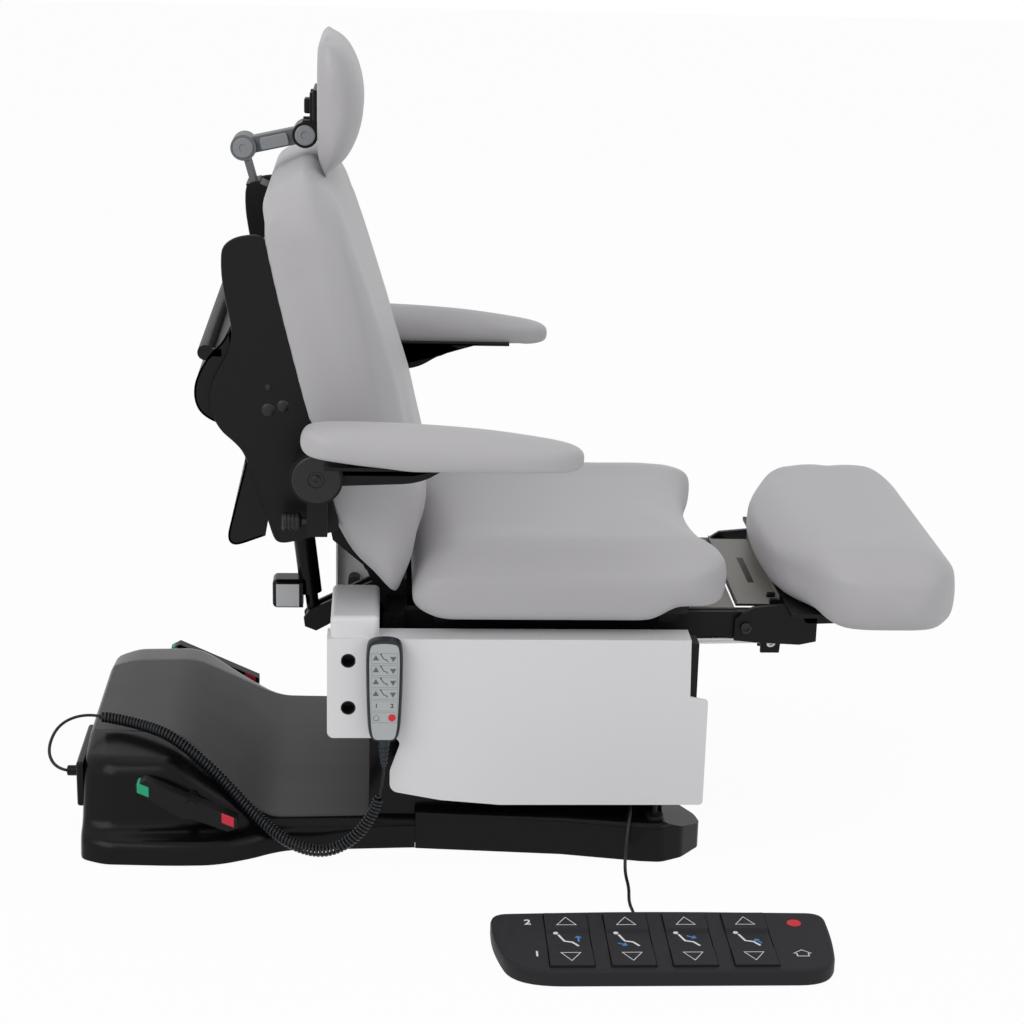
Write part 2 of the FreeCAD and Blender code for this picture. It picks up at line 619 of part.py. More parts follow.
def make_drop_frame():
    bars = []
    holes = []
    for side, tag in ((-1, "right"), (1, "left")):
        span = mirrored(side, S.drop_inner, S.drop_outer)
        riser_front = S.riser_x + S.tie_width
        bars.append(box("drop_bar_" + tag, (S.riser_x, S.drop_front), span, (S.drop_low, S.drop_high)))
        bars.append(box("cam_pad_" + tag, (S.riser_x, S.shaft_x), span, (S.drop_high, S.cam_pad)))
        arm = mirrored(side, S.arm_inner, S.drop_inner)
        bars.append(box("drop_riser_" + tag, (S.riser_x, riser_front), arm, (S.drop_low, S.bridge_high)))
        bars.append(box("bridge_arm_" + tag, (S.drop_rear, riser_front),
                        mirrored(side, S.arm_inner, S.arm_outer),
                        (S.bridge_low, S.bridge_high)))
        bars.append(box("caster_bridge_" + tag, (S.drop_rear, S.bridge_front),
                        mirrored(side, S.bridge_inner, S.bridge_outer), (S.bridge_low, S.bridge_high)))
        bars.append(box("roller_hanger_" + tag, (S.drop_front - S.roller_radius * 2, S.drop_front), span,
                        (S.hanger_low, S.drop_high)))
        bars.append(cross_pin("roller_axle_" + tag, S.axle_radius, S.roller_x, S.roller_height,
                              S.drop_outer * side, (S.roller_y + S.roller_width * MID) * side))
        holes.append(cylinder("stem_bore_" + tag, "z", S.stem_radius + S.fit,
                              (S.caster_x, S.caster_y * side, S.bridge_low - S.cut_over),
                              S.bridge_high - S.bridge_low + 2 * S.cut_over))
        for x, end in ((S.post_rear_x, "rear"), (S.post_front_x, "front")):
            start = (x, (S.drop_inner + S.drop_outer) * (MID * side), S.drop_low - S.cut_over)
            holes.append(cylinder("guide_bore_" + end + "_" + tag, "z", S.post_radius + S.slip, start,
                                  S.drop_high - S.drop_low + 2 * S.cut_over))
    across = (-S.drop_inner, S.drop_inner)
    bars.append(box("rear_tie", (S.riser_x, S.riser_x + S.tie_width), across,
                    (S.bridge_low, S.bridge_high)))
    bars.append(box("front_tie", (S.tie_x, S.tie_x + S.tie_width), across, (S.drop_low, S.drop_high)))
    node(cut("caster_frame", fuse("caster_weldment", bars), holes))


def make_caster(side, tag):
    x, y, z = S.caster_x, S.caster_y * side, S.caster_height
    wheel_x = x - S.caster_trail
    inner, outer = S.caster_width * MID + S.slip * 2, S.caster_width * MID + S.slip * 2 + S.fork_wall
    crown = S.fork_top - S.fork_wall
    parts = [box("fork_crown_" + tag, (wheel_x - S.stem_radius * 2, x + S.stem_radius * 2),
                 (y - outer, y + outer), (crown, S.fork_top))]
    for edge, sign in (("in", -1), ("out", 1)):
        leg = [(wheel_x - S.axle_radius * 2, z - S.axle_radius * 2),
               (wheel_x + S.axle_radius * 2, z - S.axle_radius * 2),
               (x + S.stem_radius * 2, crown), (wheel_x - S.stem_radius * 2, crown)]
        parts.append(slab("fork_leg_" + edge + "_" + tag, "xz", leg,
                          ordered(y + inner * sign, y + outer * sign)))
    parts.append(cross_pin("fork_axle_" + tag, S.axle_radius, wheel_x, z, y - outer, y + outer))
    parts.append(cylinder("fork_stem_" + tag, "z", S.stem_radius, (x, y, S.fork_top),
                          S.stem_top - S.fork_top))
    nut = S.bridge_high + S.slip
    parts.append(cylinder("fork_nut_" + tag, "z", S.nut_radius, (x, y, nut), S.stem_top - nut))
    node(fuse("caster_fork_" + tag, parts))
    tread = cross_pin("caster_tread_" + tag, S.caster_radius, wheel_x, z, y - S.caster_width * MID,
                      y + S.caster_width * MID)
    bore = cross_pin("caster_bore_" + tag, S.axle_radius + S.fit, wheel_x, z, y - S.caster_width,
                     y + S.caster_width)
    node(cut("caster_wheel_" + tag, tread, [bore]))
    y = S.roller_y * side
    tread = cross_pin("roller_tread_" + tag, S.roller_radius, S.roller_x, S.roller_height,
                      y - S.roller_width * MID, y + S.roller_width * MID)
    bore = cross_pin("roller_bore_" + tag, S.axle_radius + S.fit, S.roller_x, S.roller_height,
                     y - S.roller_width, y + S.roller_width)
    node(cut("front_roller_" + tag, tread, [bore]))


def make_foot_control():
    half_x, half_y = S.control_width * MID, S.control_depth * MID
    left, right = S.control_x - half_x, S.control_x + half_x
    near, far = S.control_y - half_y, S.control_y + half_y
    outline = [(left + S.control_corner * 0.6, near), (right - S.control_corner * 0.5, near),
               (right, near + S.control_corner * 0.6),
               (right - S.control_corner * 0.2, far - S.control_corner * 0.5),
               (right - S.control_corner, far),
               (left + S.control_corner * 0.6, far), (left, far - S.control_corner * 0.5),
               (left, near + S.control_corner)]
    bends = {i: S.control_corner * 0.3 for i in range(len(outline))}
    tray = slab("control_tray", "xy", outline, (0, S.control_height), bends)
    doc.recompute()
    top = float(S.control_height)
    soft = rounded("control_soft", tray, S.control_edge,
                   lambda e: min(v.Point.z for v in e.Vertexes) > top - float(S.fit))
    wells = []
    for i, tag in enumerate(ROCKERS):
        x = rocker_x(i)
        wells.append(box("rocker_well_" + tag, (x - S.rocker_width * MID - S.rocker_gap,
                                                x + S.rocker_width * MID + S.rocker_gap),
                         (S.control_y - S.rocker_depth * MID - S.rocker_gap,
                          S.control_y + S.rocker_depth * MID + S.rocker_gap),
                         (S.control_height - S.rocker_well, S.control_height + S.cut_over)))
    tray = cut("control_wells", soft, wells)
    pins = [tray]
    for i, tag in enumerate(ROCKERS):
        x = rocker_x(i)
        reach = S.rocker_width * MID + S.rocker_gap
        pins.append(cylinder("rocker_pin_" + tag, "x", S.rocker_pin,
                             (x - reach - S.rocker_gap, S.control_y, rocker_pin_z()),
                             2 * reach + 2 * S.rocker_gap))
    node(fuse("foot_control_body", pins))
    for i, tag in enumerate(ROCKERS):
        make_rocker(rocker_x(i), tag)


ROCKERS = ("lift", "tilt", "back", "leg")


def rocker_x(i):
    return S.control_x + S.rocker_shift + S.rocker_pitch * (i - 1.5)


def rocker_pin_z():
    return S.control_height - S.rocker_thick * MID


def make_rocker(x, tag):
    """A rocker key with a raised pad at each end, on a pin across its middle."""
    half_x, half_y = S.rocker_width * MID, S.rocker_depth * MID
    high, flush = S.control_height + S.rocker_rise, S.control_height
    low = flush - S.rocker_thick
    y = S.control_y
    side = [(y - half_y, high), (y - half_y, low + S.rocker_dip * 2), (y, low),
            (y + half_y, low + S.rocker_dip * 2),
            (y + half_y, high), (y + half_y - S.rocker_end, high),
            (y + half_y - S.rocker_end - S.rocker_rise, flush),
            (y - half_y + S.rocker_end + S.rocker_rise, flush), (y - half_y + S.rocker_end, high)]
    bar = slab("rocker_bar_" + tag, "yz", side, (x - half_x, x + half_x))
    bore = cylinder("rocker_bore_" + tag, "x", S.rocker_pin + S.fit,
                    (x - S.rocker_width, y, rocker_pin_z()), S.rocker_width * 2)
    node(cut("foot_key_" + tag, bar, [bore]))


def make_carriage():
    parts = []
    bores = []
    top = S.column_head
    for side, tag in ((-1, "right"), (1, "left")):
        parts.append(box("beam_" + tag, (S.beam_rear, S.beam_front),
                         mirrored(side, S.beam_inner, S.beam_outer), (S.beam_low, top)))
        plate_x = (S.tilt_x - S.pin_radius * 2, S.tilt_x + S.pin_radius * 2)
        parts.append(box("tilt_plate_" + tag, plate_x,
                         mirrored(side, S.tilt_inner, S.tilt_inner + S.tilt_plate),
                         (S.tab_low, S.tilt_z + S.pin_radius * 2)))
        parts.append(box("tilt_block_" + tag, (S.beam_rear, S.tilt_x + S.pin_radius * 2),
                         mirrored(side, S.tilt_inner, S.beam_inner), (S.tab_low, top)))
        bores.append(cross_pin("tilt_bore_" + tag, S.pin_radius + S.fit, S.tilt_x, S.tilt_z,
                               (S.tilt_inner - S.cut_over) * side,
                               (S.tilt_inner + S.tilt_plate + S.cut_over) * side))
        reach = mirrored(side, S.beam_outer, S.shroud_half - S.shroud_sheet)
        parts.append(box("tab_rear_" + tag, (-S.tab_x, S.tab_length - S.tab_x), reach,
                         (S.tab_low, S.tab_high)))
        post_front = S.corner_post_x + S.corner_post_width
        inner = S.shroud_half - S.shroud_sheet - S.slip
        parts.append(box("tab_front_" + tag, (S.beam_front - S.tab_length, S.beam_front), reach,
                         (S.tab_low, S.tab_high)))
        parts.append(box("post_tie_" + tag, (S.beam_front, post_front),
                         mirrored(side, S.beam_inner, inner), (S.tab_low, S.tab_high)))
        parts.append(box("corner_post_" + tag, (S.corner_post_x, post_front),
                         mirrored(side, S.corner_post_inner, inner),
                         (S.corner_post_low, S.corner_post_high)))
    for end, sign in (("rear", -1), ("front", 1)):
        span = ordered(S.cross_near * sign, S.cross_far * sign)
        parts.append(box("cross_beam_" + end, span, (-S.beam_inner, S.beam_inner),
                         (S.beam_low, S.cross_low)))
        parts.append(box("web_" + end, span, (-S.web_half, S.web_half), (S.cross_low, top)))
    parts.append(box("lift_head", (-S.head_half_x, S.head_half_x), (-S.head_half_y, S.head_half_y),
                     (top, top + S.head_plate)))
    gap = S.tube_radius + S.yoke_gap
    for sign, tag in ((-1, "near"), (1, "far")):
        across = ordered(S.tilt_drive_y + gap * sign, S.tilt_drive_y + (gap + S.yoke_plate) * sign)
        parts.append(box("tilt_hanger_" + tag,
                         (S.tilt_drive_x - S.yoke_radius, S.tilt_drive_x + S.yoke_radius), across,
                         (S.tilt_drive_z - S.yoke_radius, S.cross_low)))
    parts.append(cross_pin("tilt_drive_pin", S.pivot_radius, S.tilt_drive_x, S.tilt_drive_z,
                           S.tilt_drive_y - gap - S.yoke_plate, S.tilt_drive_y + gap + S.yoke_plate))
    node(cut("carriage_frame", fuse("carriage_weldment", parts), bores))


SHROUD_SHARES = (
    (0.000, 1.000), (0.000, 0.409), (0.197, 0.409), (0.165, 0.210), (0.165, 0.085), (0.298, 0.030),
    (0.458, 0.000), (1.000, 0.000), (1.000, 0.640), (0.952, 0.663), (0.948, 1.000),
)
SHROUD_FLANGE_SHARE = 0.948


def make_shroud():
    sides = []
    top = (S.shroud_top - S.shroud_sheet, S.shroud_top)
    flange_front = S.shroud_rear + (S.shroud_front - S.shroud_rear) * SHROUD_FLANGE_SHARE
    for side, tag in ((-1, "right"), (1, "left")):
        outline = shares_outline(SHROUD_SHARES, S.shroud_rear, S.shroud_front, S.shroud_bottom,
                                 S.shroud_top)
        bends = {1: S.shroud_bend, 2: S.shroud_bend, 3: S.shroud_bend * 2, 4: S.shroud_bend * 1.4,
                 7: S.shroud_bend * 0.6,
                 8: S.shroud_bend * 0.5}
        panel = slab("shroud_panel_" + tag, "xz", outline, mirrored(side, S.shroud_half - S.shroud_sheet,
                                                                    S.shroud_half), bends)
        flange = box("shroud_flange_" + tag, (S.shroud_rear, flange_front),
                     mirrored(side, S.shroud_half - S.shroud_flange, S.shroud_half - S.shroud_sheet), top)
        back = box("shroud_return_" + tag, (S.shroud_rear, S.shroud_rear + S.shroud_sheet),
                   mirrored(side, S.shroud_half - S.shroud_return, S.shroud_half - S.shroud_sheet),
                   (S.shroud_tail + S.shroud_bend, S.shroud_top - S.shroud_sheet))
        ports = []
        for z, end in ((S.port_high, "high"), (S.port_low, "low")):
            ports.append(cross_pin("port_" + end + "_" + tag, S.port_radius, S.port_x, z,
                                   (S.shroud_half - S.cut_over) * side,
                                   (S.shroud_half + S.cut_over) * side))
        sides.append(cut("shroud_" + tag, fuse("shroud_sheets_" + tag, [panel, flange, back]), ports))
    node(group("shroud", sides))
    cheeks = []
    for side, tag in ((-1, "right"), (1, "left")):
        span = mirrored(side, S.cheek_inner, S.cheek_outer)
        block = box("cheek_block_" + tag, (S.cheek_rear, S.cheek_front), span, (S.shroud_top, S.cheek_top))
        low = float(S.shroud_top)
        soft = rounded("cheek_soft_" + tag, block, S.cheek_round,
                       lambda edge: max(v.Point.z for v in edge.Vertexes) > low + float(S.cheek_round))
        room = box("cheek_room_" + tag, (S.cheek_rear + S.shroud_sheet, S.cheek_front - S.shroud_sheet),
                   (span[0] + S.shroud_sheet, span[1] - S.shroud_sheet),
                   (S.shroud_top - S.cut_over, S.cheek_top - S.shroud_sheet * 2))
        cheeks.append(cut("cheek_" + tag, soft, [room]))
    node(group("rear_cover", cheeks))


def make_handset():
    back = -S.shroud_half - S.slip
    front = back - S.handset_thick
    left, right = S.handset_x - S.handset_width * MID, S.handset_x + S.handset_width * MID
    case = box("handset_case", (left, right), (front, back), (S.handset_low, S.handset_high))
    limit = float(back)
    soft = rounded("handset_soft", case, S.handset_round,
                   lambda edge: min(v.Point.y for v in edge.Vertexes) < limit - float(S.fit))
    face = box("handset_face", (left + S.face_inset, right - S.face_inset), (front, front + S.face_deep),
               (S.handset_low + S.face_inset, S.handset_high - S.face_inset))
    window = cut("handset_body", soft, [face])
    y = back - S.handset_thick * MID
    parts = [window]
    step = S.relief_length / 6
    for i in range(6):
        radius = S.relief_radius - (S.relief_radius - S.relief_tip) * (i / 6)
        high = S.handset_low - step * i
        parts.append(cylinder("relief_rib_" + str(i), "z", radius, (S.handset_x, y, high - step * 0.6),
                              step * 0.6))
        parts.append(cylinder("relief_core_" + str(i), "z", radius - S.relief_groove,
                              (S.handset_x, y, high - step), step))
    node(fuse("handset", parts))


def yoke(name, y, gap, corners):
    """Two plates of one outline standing either side of an eye."""
    plates = []
    for sign, tag in ((-1, "near"), (1, "far")):
        plates.append(slab(name + "_" + tag, "xz", corners,
                           ordered(y + gap * sign, y + (gap + S.yoke_plate) * sign)))
    return plates


def make_seat_frame():
    parts = []
    bores = []
    member = (S.member_low, S.rail_high)
    for side, tag in ((-1, "right"), (1, "left")):
        rail = mirrored(side, S.rail_inner, S.rail_outer)
        parts.append(box("rail_" + tag, (S.rail_rear, S.rail_front), rail, (S.rail_low, S.rail_high)))
        for x, z, end in ((S.tilt_x, S.tilt_z, "tilt"), (S.leg_x, S.leg_z, "leg")):
            bores.append(cross_pin("rail_bore_" + end + "_" + tag, S.pin_radius + S.fit, x, z,
                                   (S.rail_inner - S.cut_over) * side, (S.rail_outer + S.cut_over) * side))
        ear = mirrored(side, S.ear_inner, S.ear_inner + S.ear_thick)
        rear_member = S.rail_rear + S.member_gap
        plate = [(rear_member, S.member_low), (rear_member + S.cross_width, S.member_low),
                 (rear_member + S.cross_width, S.board_low - S.slip),
                 (S.back_x + S.ear_radius * 0.8, S.back_z + S.ear_radius * 0.6),
                 (S.back_x - S.ear_radius * 0.8, S.back_z - S.ear_radius * 0.6)]
        parts.append(slab("ear_plate_" + tag, "xz", plate, ear))
        parts.append(cross_pin("ear_end_" + tag, S.ear_radius, S.back_x, S.back_z, *ear))
        bores.append(cross_pin("ear_bore_" + tag, S.pin_radius + S.fit, S.back_x, S.back_z,
                               (S.ear_inner - S.cut_over) * side,
                               (S.ear_inner + S.ear_thick + S.cut_over) * side))
    inner = (-S.rail_inner, S.rail_inner)
    for x, end in ((S.rail_rear + S.member_gap, "rear"), (S.member_mid, "mid"), (S.member_front, "front")):
        parts.append(box("member_" + end, (x, x + S.cross_width), inner, member))
    for x, end in ((S.tube_rear, "rear"), (S.tube_mid, "mid"), (S.tube_front, "front")):
        parts.append(box("top_tube_" + end, (x, x + S.cross_width), (-S.cross_half, S.cross_half),
                         (S.rail_high, S.board_low)))
    gap = S.eye_half + S.yoke_gap
    x, z, r = S.back_drive_x, S.back_drive_z, S.yoke_radius
    rear = S.rail_rear + S.member_gap
    drop = [(rear + S.cross_width, S.member_low), (rear + S.cross_width, S.rail_high), (rear, S.rail_high),
            (x - r * 0.4, z + r * 0.9), (x - r * 0.9, z + r * 0.2), (x - r * 0.8, z - r * 0.6),
            (x + r * 0.2, z - r), (rear, S.member_low)]
    parts += yoke("back_drop", 0 * gap, gap, drop)
    parts.append(cross_pin("back_drive_pin", S.pivot_radius, x, z, -gap - S.yoke_plate, gap + S.yoke_plate))
    x, z, y = S.leg_drive_x, S.leg_drive_z, S.leg_drive_y
    plate = [(x - r, z - r), (x + r, z - r), (x + r, S.board_low), (x - r, S.board_low)]
    parts += yoke("leg_hanger", y, gap, plate)
    parts.append(cross_pin("leg_drive_pin", S.pivot_radius, x, z, y - gap - S.yoke_plate,
                           y + gap + S.yoke_plate))
    x, z, y = S.tilt_drive_top_x, S.tilt_drive_top_z, S.tilt_drive_y
    plate = [(x - r, z - r), (x + r, z - r), (x + r, S.rail_high), (x - r, S.rail_high)]
    parts += yoke("tilt_clevis", y, gap, plate)
    node(cut("seat_frame", fuse("seat_weldment", parts), bores))
    board = box("board_sheet", (S.seat_rear + S.board_inset, S.seat_front - S.board_inset * 2),
                (S.board_inset - S.seat_half, S.seat_half - S.board_inset),
                (S.board_low, S.board_low + S.board_thick))
    upright = float(S.board_thick)
    node(rounded("seat_board", board, S.board_inset * MID,
                 lambda e: abs(e.Vertexes[0].Point.z - e.Vertexes[-1].Point.z) > upright * MID))
    node(box("leg_apron", (S.apron_rear, S.apron_front), (-S.apron_half, S.apron_half),
             (S.rail_high, S.rail_high + S.apron_sheet)))
    pins = []
    tilt_start = S.rail_inner - S.pin_head
    back_start = S.ear_inner - S.pin_head
    for side, tag in ((-1, "right"), (1, "left")):
        for x, z, start, end in ((S.tilt_x, S.tilt_z, tilt_start, "tilt"),
                                 (S.leg_x, S.leg_z, tilt_start, "leg"),
                                 (S.back_x, S.back_z, back_start, "back")):
            pins.append(cross_pin("pin_" + end + "_" + tag, S.pin_radius, x, z, start * side,
                                  (start + S.pin_length) * side))
    node(group("hinge_pins", pins))


def cushion_wire(place, u, half, radius, bows):
    """A rounded rectangle in a plane; each bow moves the middle of an end outwards along u."""
    low, high = float(u[0]), float(u[1])
    h = float(half)
    r = min(float(radius), h * CORNER_LIMIT_SHARE, (high - low) * CORNER_LIMIT_SHARE * MID)
    k = r * (1 - math.sqrt(MID))
    rear, front = low - float(bows[0]), high + float(bows[1])

    def spot(a, b):
        return place(a, b)

    edges = [
        Part.Arc(spot(low, -h + r), spot(low + k, -h + k), spot(low + r, -h)).toShape(),
        Part.LineSegment(spot(low + r, -h), spot(high - r, -h)).toShape(),
        Part.Arc(spot(high - r, -h), spot(high - k, -h + k), spot(high, -h + r)).toShape(),
        edge_between(spot(high, -h + r), spot(front, 0), spot(high, h - r), bows[1]),
        Part.Arc(spot(high, h - r), spot(high - k, h - k), spot(high - r, h)).toShape(),
        Part.LineSegment(spot(high - r, h), spot(low + r, h)).toShape(),
        Part.Arc(spot(low + r, h), spot(low + k, h - k), spot(low, h - r)).toShape(),
        edge_between(spot(low, h - r), spot(rear, 0), spot(low, -h + r), bows[0]),
    ]
    return Part.Wire(edges)


def edge_between(start, middle, end, bow):
    if abs(float(bow)) > float(S.fit):
        return Part.Arc(start, middle, end).toShape()
    return Part.LineSegment(start, end).toShape()


# Layers of a cushion from its underside up: the share of its height, then how far each side is
# drawn in and the corner radius, as shares of the height.
PAD_SHARES = ((0.00, 0.16, 0.30), (0.12, 0.03, 0.40), (0.38, 0.00, 0.44), (0.66, 0.03, 0.46),
              (0.84, 0.14, 0.50), (0.94, 0.32, 0.55), (1.00, 0.80, 0.60))


def flat_cushion(name, u, half, z, bows, lean):
    """A padded cushion lying flat with a crown; lean moves its rear end forward towards the top."""
    height = z[1] - z[0]
    layers = []
    for rise, draw, corner in PAD_SHARES:
        level = float(z[0] + height * rise)
        inset = height * draw
        rear = u[0] + lean * rise + inset
        layers.append(cushion_wire(lambda a, b, level=level: Vector(a, b, level), (rear, u[1] - inset),
                                   half - inset,
                                   height * corner, bows))
    return node(feature(name, Part.makeLoft(layers, True, True)))


def make_cushions():
    flat_cushion("seat_cushion", (S.seat_rear, S.seat_front), S.seat_half, (S.seat_low, S.seat_high),
                 (0, -S.seat_notch), S.seat_lean)
    flat_cushion("leg_cushion", (S.leg_pad_rear + S.leg_pad_bow, S.leg_pad_front), S.leg_pad_half,
                 (S.pan_low + S.pan_thick + S.slip, S.leg_pad_high),
                 (S.leg_pad_bow, 0), 0)


LEG_ARM_SHARES = ((-0.10, 0.10), (-0.10, 0.62), (0.06, 0.90), (0.46, 1.00), (0.68, 0.86), (1.00, 0.27),
                  (0.50, 0.00), (0.10, 0.05))


def make_leg_frame():
    parts = []
    bores = []
    outline = shares_outline(LEG_ARM_SHARES, S.leg_x, S.leg_tip, S.leg_bracket_low, S.leg_bracket_high)
    for side, tag in ((-1, "right"), (1, "left")):
        inner = S.rail_outer + S.yoke_gap
        parts.append(slab("leg_arm_" + tag, "xz", outline, mirrored(side, inner, inner + S.arm_plate),
                          {2: S.leg_round, 3: S.leg_round * 2}))
        bores.append(cross_pin("leg_bore_" + tag, S.pin_radius + S.fit, S.leg_x, S.leg_z,
                               (inner - S.cut_over) * side, (inner + S.arm_plate + S.cut_over) * side))
    parts.append(box("leg_pan", (S.pan_rear, S.pan_front), (-S.pan_half, S.pan_half),
                     (S.pan_low, S.pan_low + S.pan_thick)))
    half = S.rail_inner - S.pin_head
    flap_low = S.rail_high + S.flap_gap
    rear = S.apron_front + S.pin_head
    parts.append(box("leg_flap", (rear, S.flap_front), (-half, half), (flap_low, flap_low + S.apron_sheet)))
    parts.append(box("flap_riser", (S.flap_front, S.pan_rear + S.pan_thick), (-half, half),
                     (flap_low, S.pan_low + S.pan_thick)))
    mid = (rear + S.flap_front) * MID
    bores.append(box("flap_slot", (mid, mid + S.slot_width), (-S.slot_half, S.slot_half),
                     (flap_low - S.cut_over, flap_low + S.cut_over)))
    gap = S.eye_half + S.yoke_gap
    x, z, r = S.leg_drive_end_x, S.leg_drive_end_z, S.yoke_radius
    plate = [(x - r * 0.8, z - r), (x + r * 0.8, z - r), (S.pan_rear + S.pan_thick, flap_low),
             (S.pan_rear + S.pan_thick, S.pan_low),
             (x - r * 0.2, S.pan_low), (x - r * 0.8, z + r)]
    parts += yoke("leg_clevis", S.leg_drive_y, gap, plate)
    node(cut("leg_frame", fuse("leg_weldment", parts), bores))


class Drive:
    """A linear actuator between two pivots in one plane across the chair."""

    def __init__(self, x, z, end_x, end_z, y):
        self.start = point(x, y, z)
        self.way = point(end_x, y, end_z) - self.start
        self.length = self.way.Length
        self.way.normalize()

    def at(self, along):
        return self.start + self.way * float(along)

    def rod(self, radius, low, high):
        return Part.makeCylinder(float(radius), float(high) - float(low), self.at(low), self.way)

    def eye(self, along, radius, half):
        return Part.makeCylinder(float(radius), 2 * float(half),
                                 self.at(along) - Vector(0, float(half), 0), Vector(0, 1, 0))


def make_drive(name, drive, tube, rod, neck, eye_half, extra):
    """The outer tube with its eye and the rod that slides in it."""
    tail = drive.length - float(rod)
    eye = drive.eye(0, S.eye_radius, eye_half)
    shank = drive.rod(S.eye_half, 0, neck)
    body = eye.fuse(shank).fuse(drive.rod(S.tube_radius, neck, tube))
    for piece in extra:
        body = body.fuse(piece)
    back_room = min(tail, float(neck) + float(S.rod_radius))
    body = body.cut(drive.rod(S.tube_bore, back_room, tube + S.cut_over))
    body = body.cut(drive.eye(0, S.pivot_radius + S.fit, eye_half + S.cut_over))
    node(feature(name, body))
    end = drive.eye(drive.length, S.eye_radius, S.eye_half)
    shaft = drive.rod(S.rod_radius, tail, drive.length)
    bore = drive.eye(drive.length, S.pivot_radius + S.fit, S.eye_half + S.cut_over)
    node(feature(name + "_rod", shaft.fuse(end).cut(bore)))


def make_drives():
    motor = Part.makeBox(float(S.motor_front - S.motor_rear), float(S.motor_width),
                         float(S.motor_high - S.motor_low),
                         point(S.motor_rear, -S.motor_width * MID, S.motor_low))
    behind = float(S.motor_rear)
    edges = [e for e in motor.Edges if min(v.Point.x for v in e.Vertexes) < behind + float(S.fit)]
    motor = motor.makeFillet(float(S.motor_round), edges)
    back = Drive(S.back_drive_x, S.back_drive_z, S.back_drive_top_x, S.back_drive_top_z, 0)
    make_drive("back_actuator", back, S.back_tube, S.back_rod, S.back_neck, S.eye_half, [motor])
    leg = Drive(S.leg_drive_x, S.leg_drive_z, S.leg_drive_end_x, S.leg_drive_end_z, S.leg_drive_y)
    make_drive("leg_actuator", leg, S.leg_tube, S.leg_rod, S.leg_neck, S.eye_half, [])
    tilt = Drive(S.tilt_drive_x, S.tilt_drive_z, S.tilt_drive_top_x, S.tilt_drive_top_z, S.tilt_drive_y)
    make_drive("tilt_actuator", tilt, S.tilt_tube, S.tilt_rod, S.leg_neck * MID,
               S.tube_radius - S.yoke_gap * 2, [])


BACK_RUN = math.hypot(float(S.plane_top_x - S.plane_x), float(S.plane_top_z - S.plane_z))
BACK_UP = (float(S.plane_top_x - S.plane_x) / BACK_RUN, float(S.plane_top_z - S.plane_z) / BACK_RUN)
BACK_OUT = (BACK_UP[1], -BACK_UP[0])


def back_point(along, out):
    """A place on the back: along its slope from the cushion's bottom, and out of its rear plane."""
    foot_x = S.plane_x - S.plane_foot * BACK_UP[0]
    foot_z = S.plane_z - S.plane_foot * BACK_UP[1]
    return (foot_x + along * BACK_UP[0] + out * BACK_OUT[0],
            foot_z + along * BACK_UP[1] + out * BACK_OUT[1])


def back_bar(name, along, out, across):
    corners = [back_point(along[0], out[0]), back_point(along[0], out[1]), back_point(along[1], out[1]),
               back_point(along[1], out[0])]
    return slab(name, "xz", corners, across)


SIDE_SHARES = (
    (0.453, 1.000), (0.141, 0.948), (0.193, 0.689), (0.000, 0.516), (0.271, 0.343), (0.266, 0.151),
    (0.505, 0.000), (1.000, 0.054),
)
COVER_SHARES = (
    (0.500, 1.000), (0.520, 0.760), (0.500, 0.690), (0.450, 0.620), (0.000, 0.520), (0.000, 0.310),
    (0.680, 0.283),
    (0.500, 0.020), (0.560, 0.000), (0.980, 0.040),
)


def strip(points, thick):
    """A bent sheet's outline: a run of corners and the same run moved over by the sheet's thickness."""
    moved = []
    for i, (u, v) in enumerate(points):
        before = points[max(i - 1, 0)]
        after = points[min(i + 1, len(points) - 1)]
        ways = []
        for a, b in ((before, (u, v)), ((u, v), after)):
            du, dv = float(b[0]) - float(a[0]), float(b[1]) - float(a[1])
            size = math.hypot(du, dv)
            if size:
                ways.append((-dv / size, du / size))
        nu, nv = sum(w[0] for w in ways), sum(w[1] for w in ways)
        scale = len(ways) / (nu * nu + nv * nv)
        moved.append((u + thick * (nu * scale), v + thick * (nv * scale)))
    return list(points) + moved[::-1]


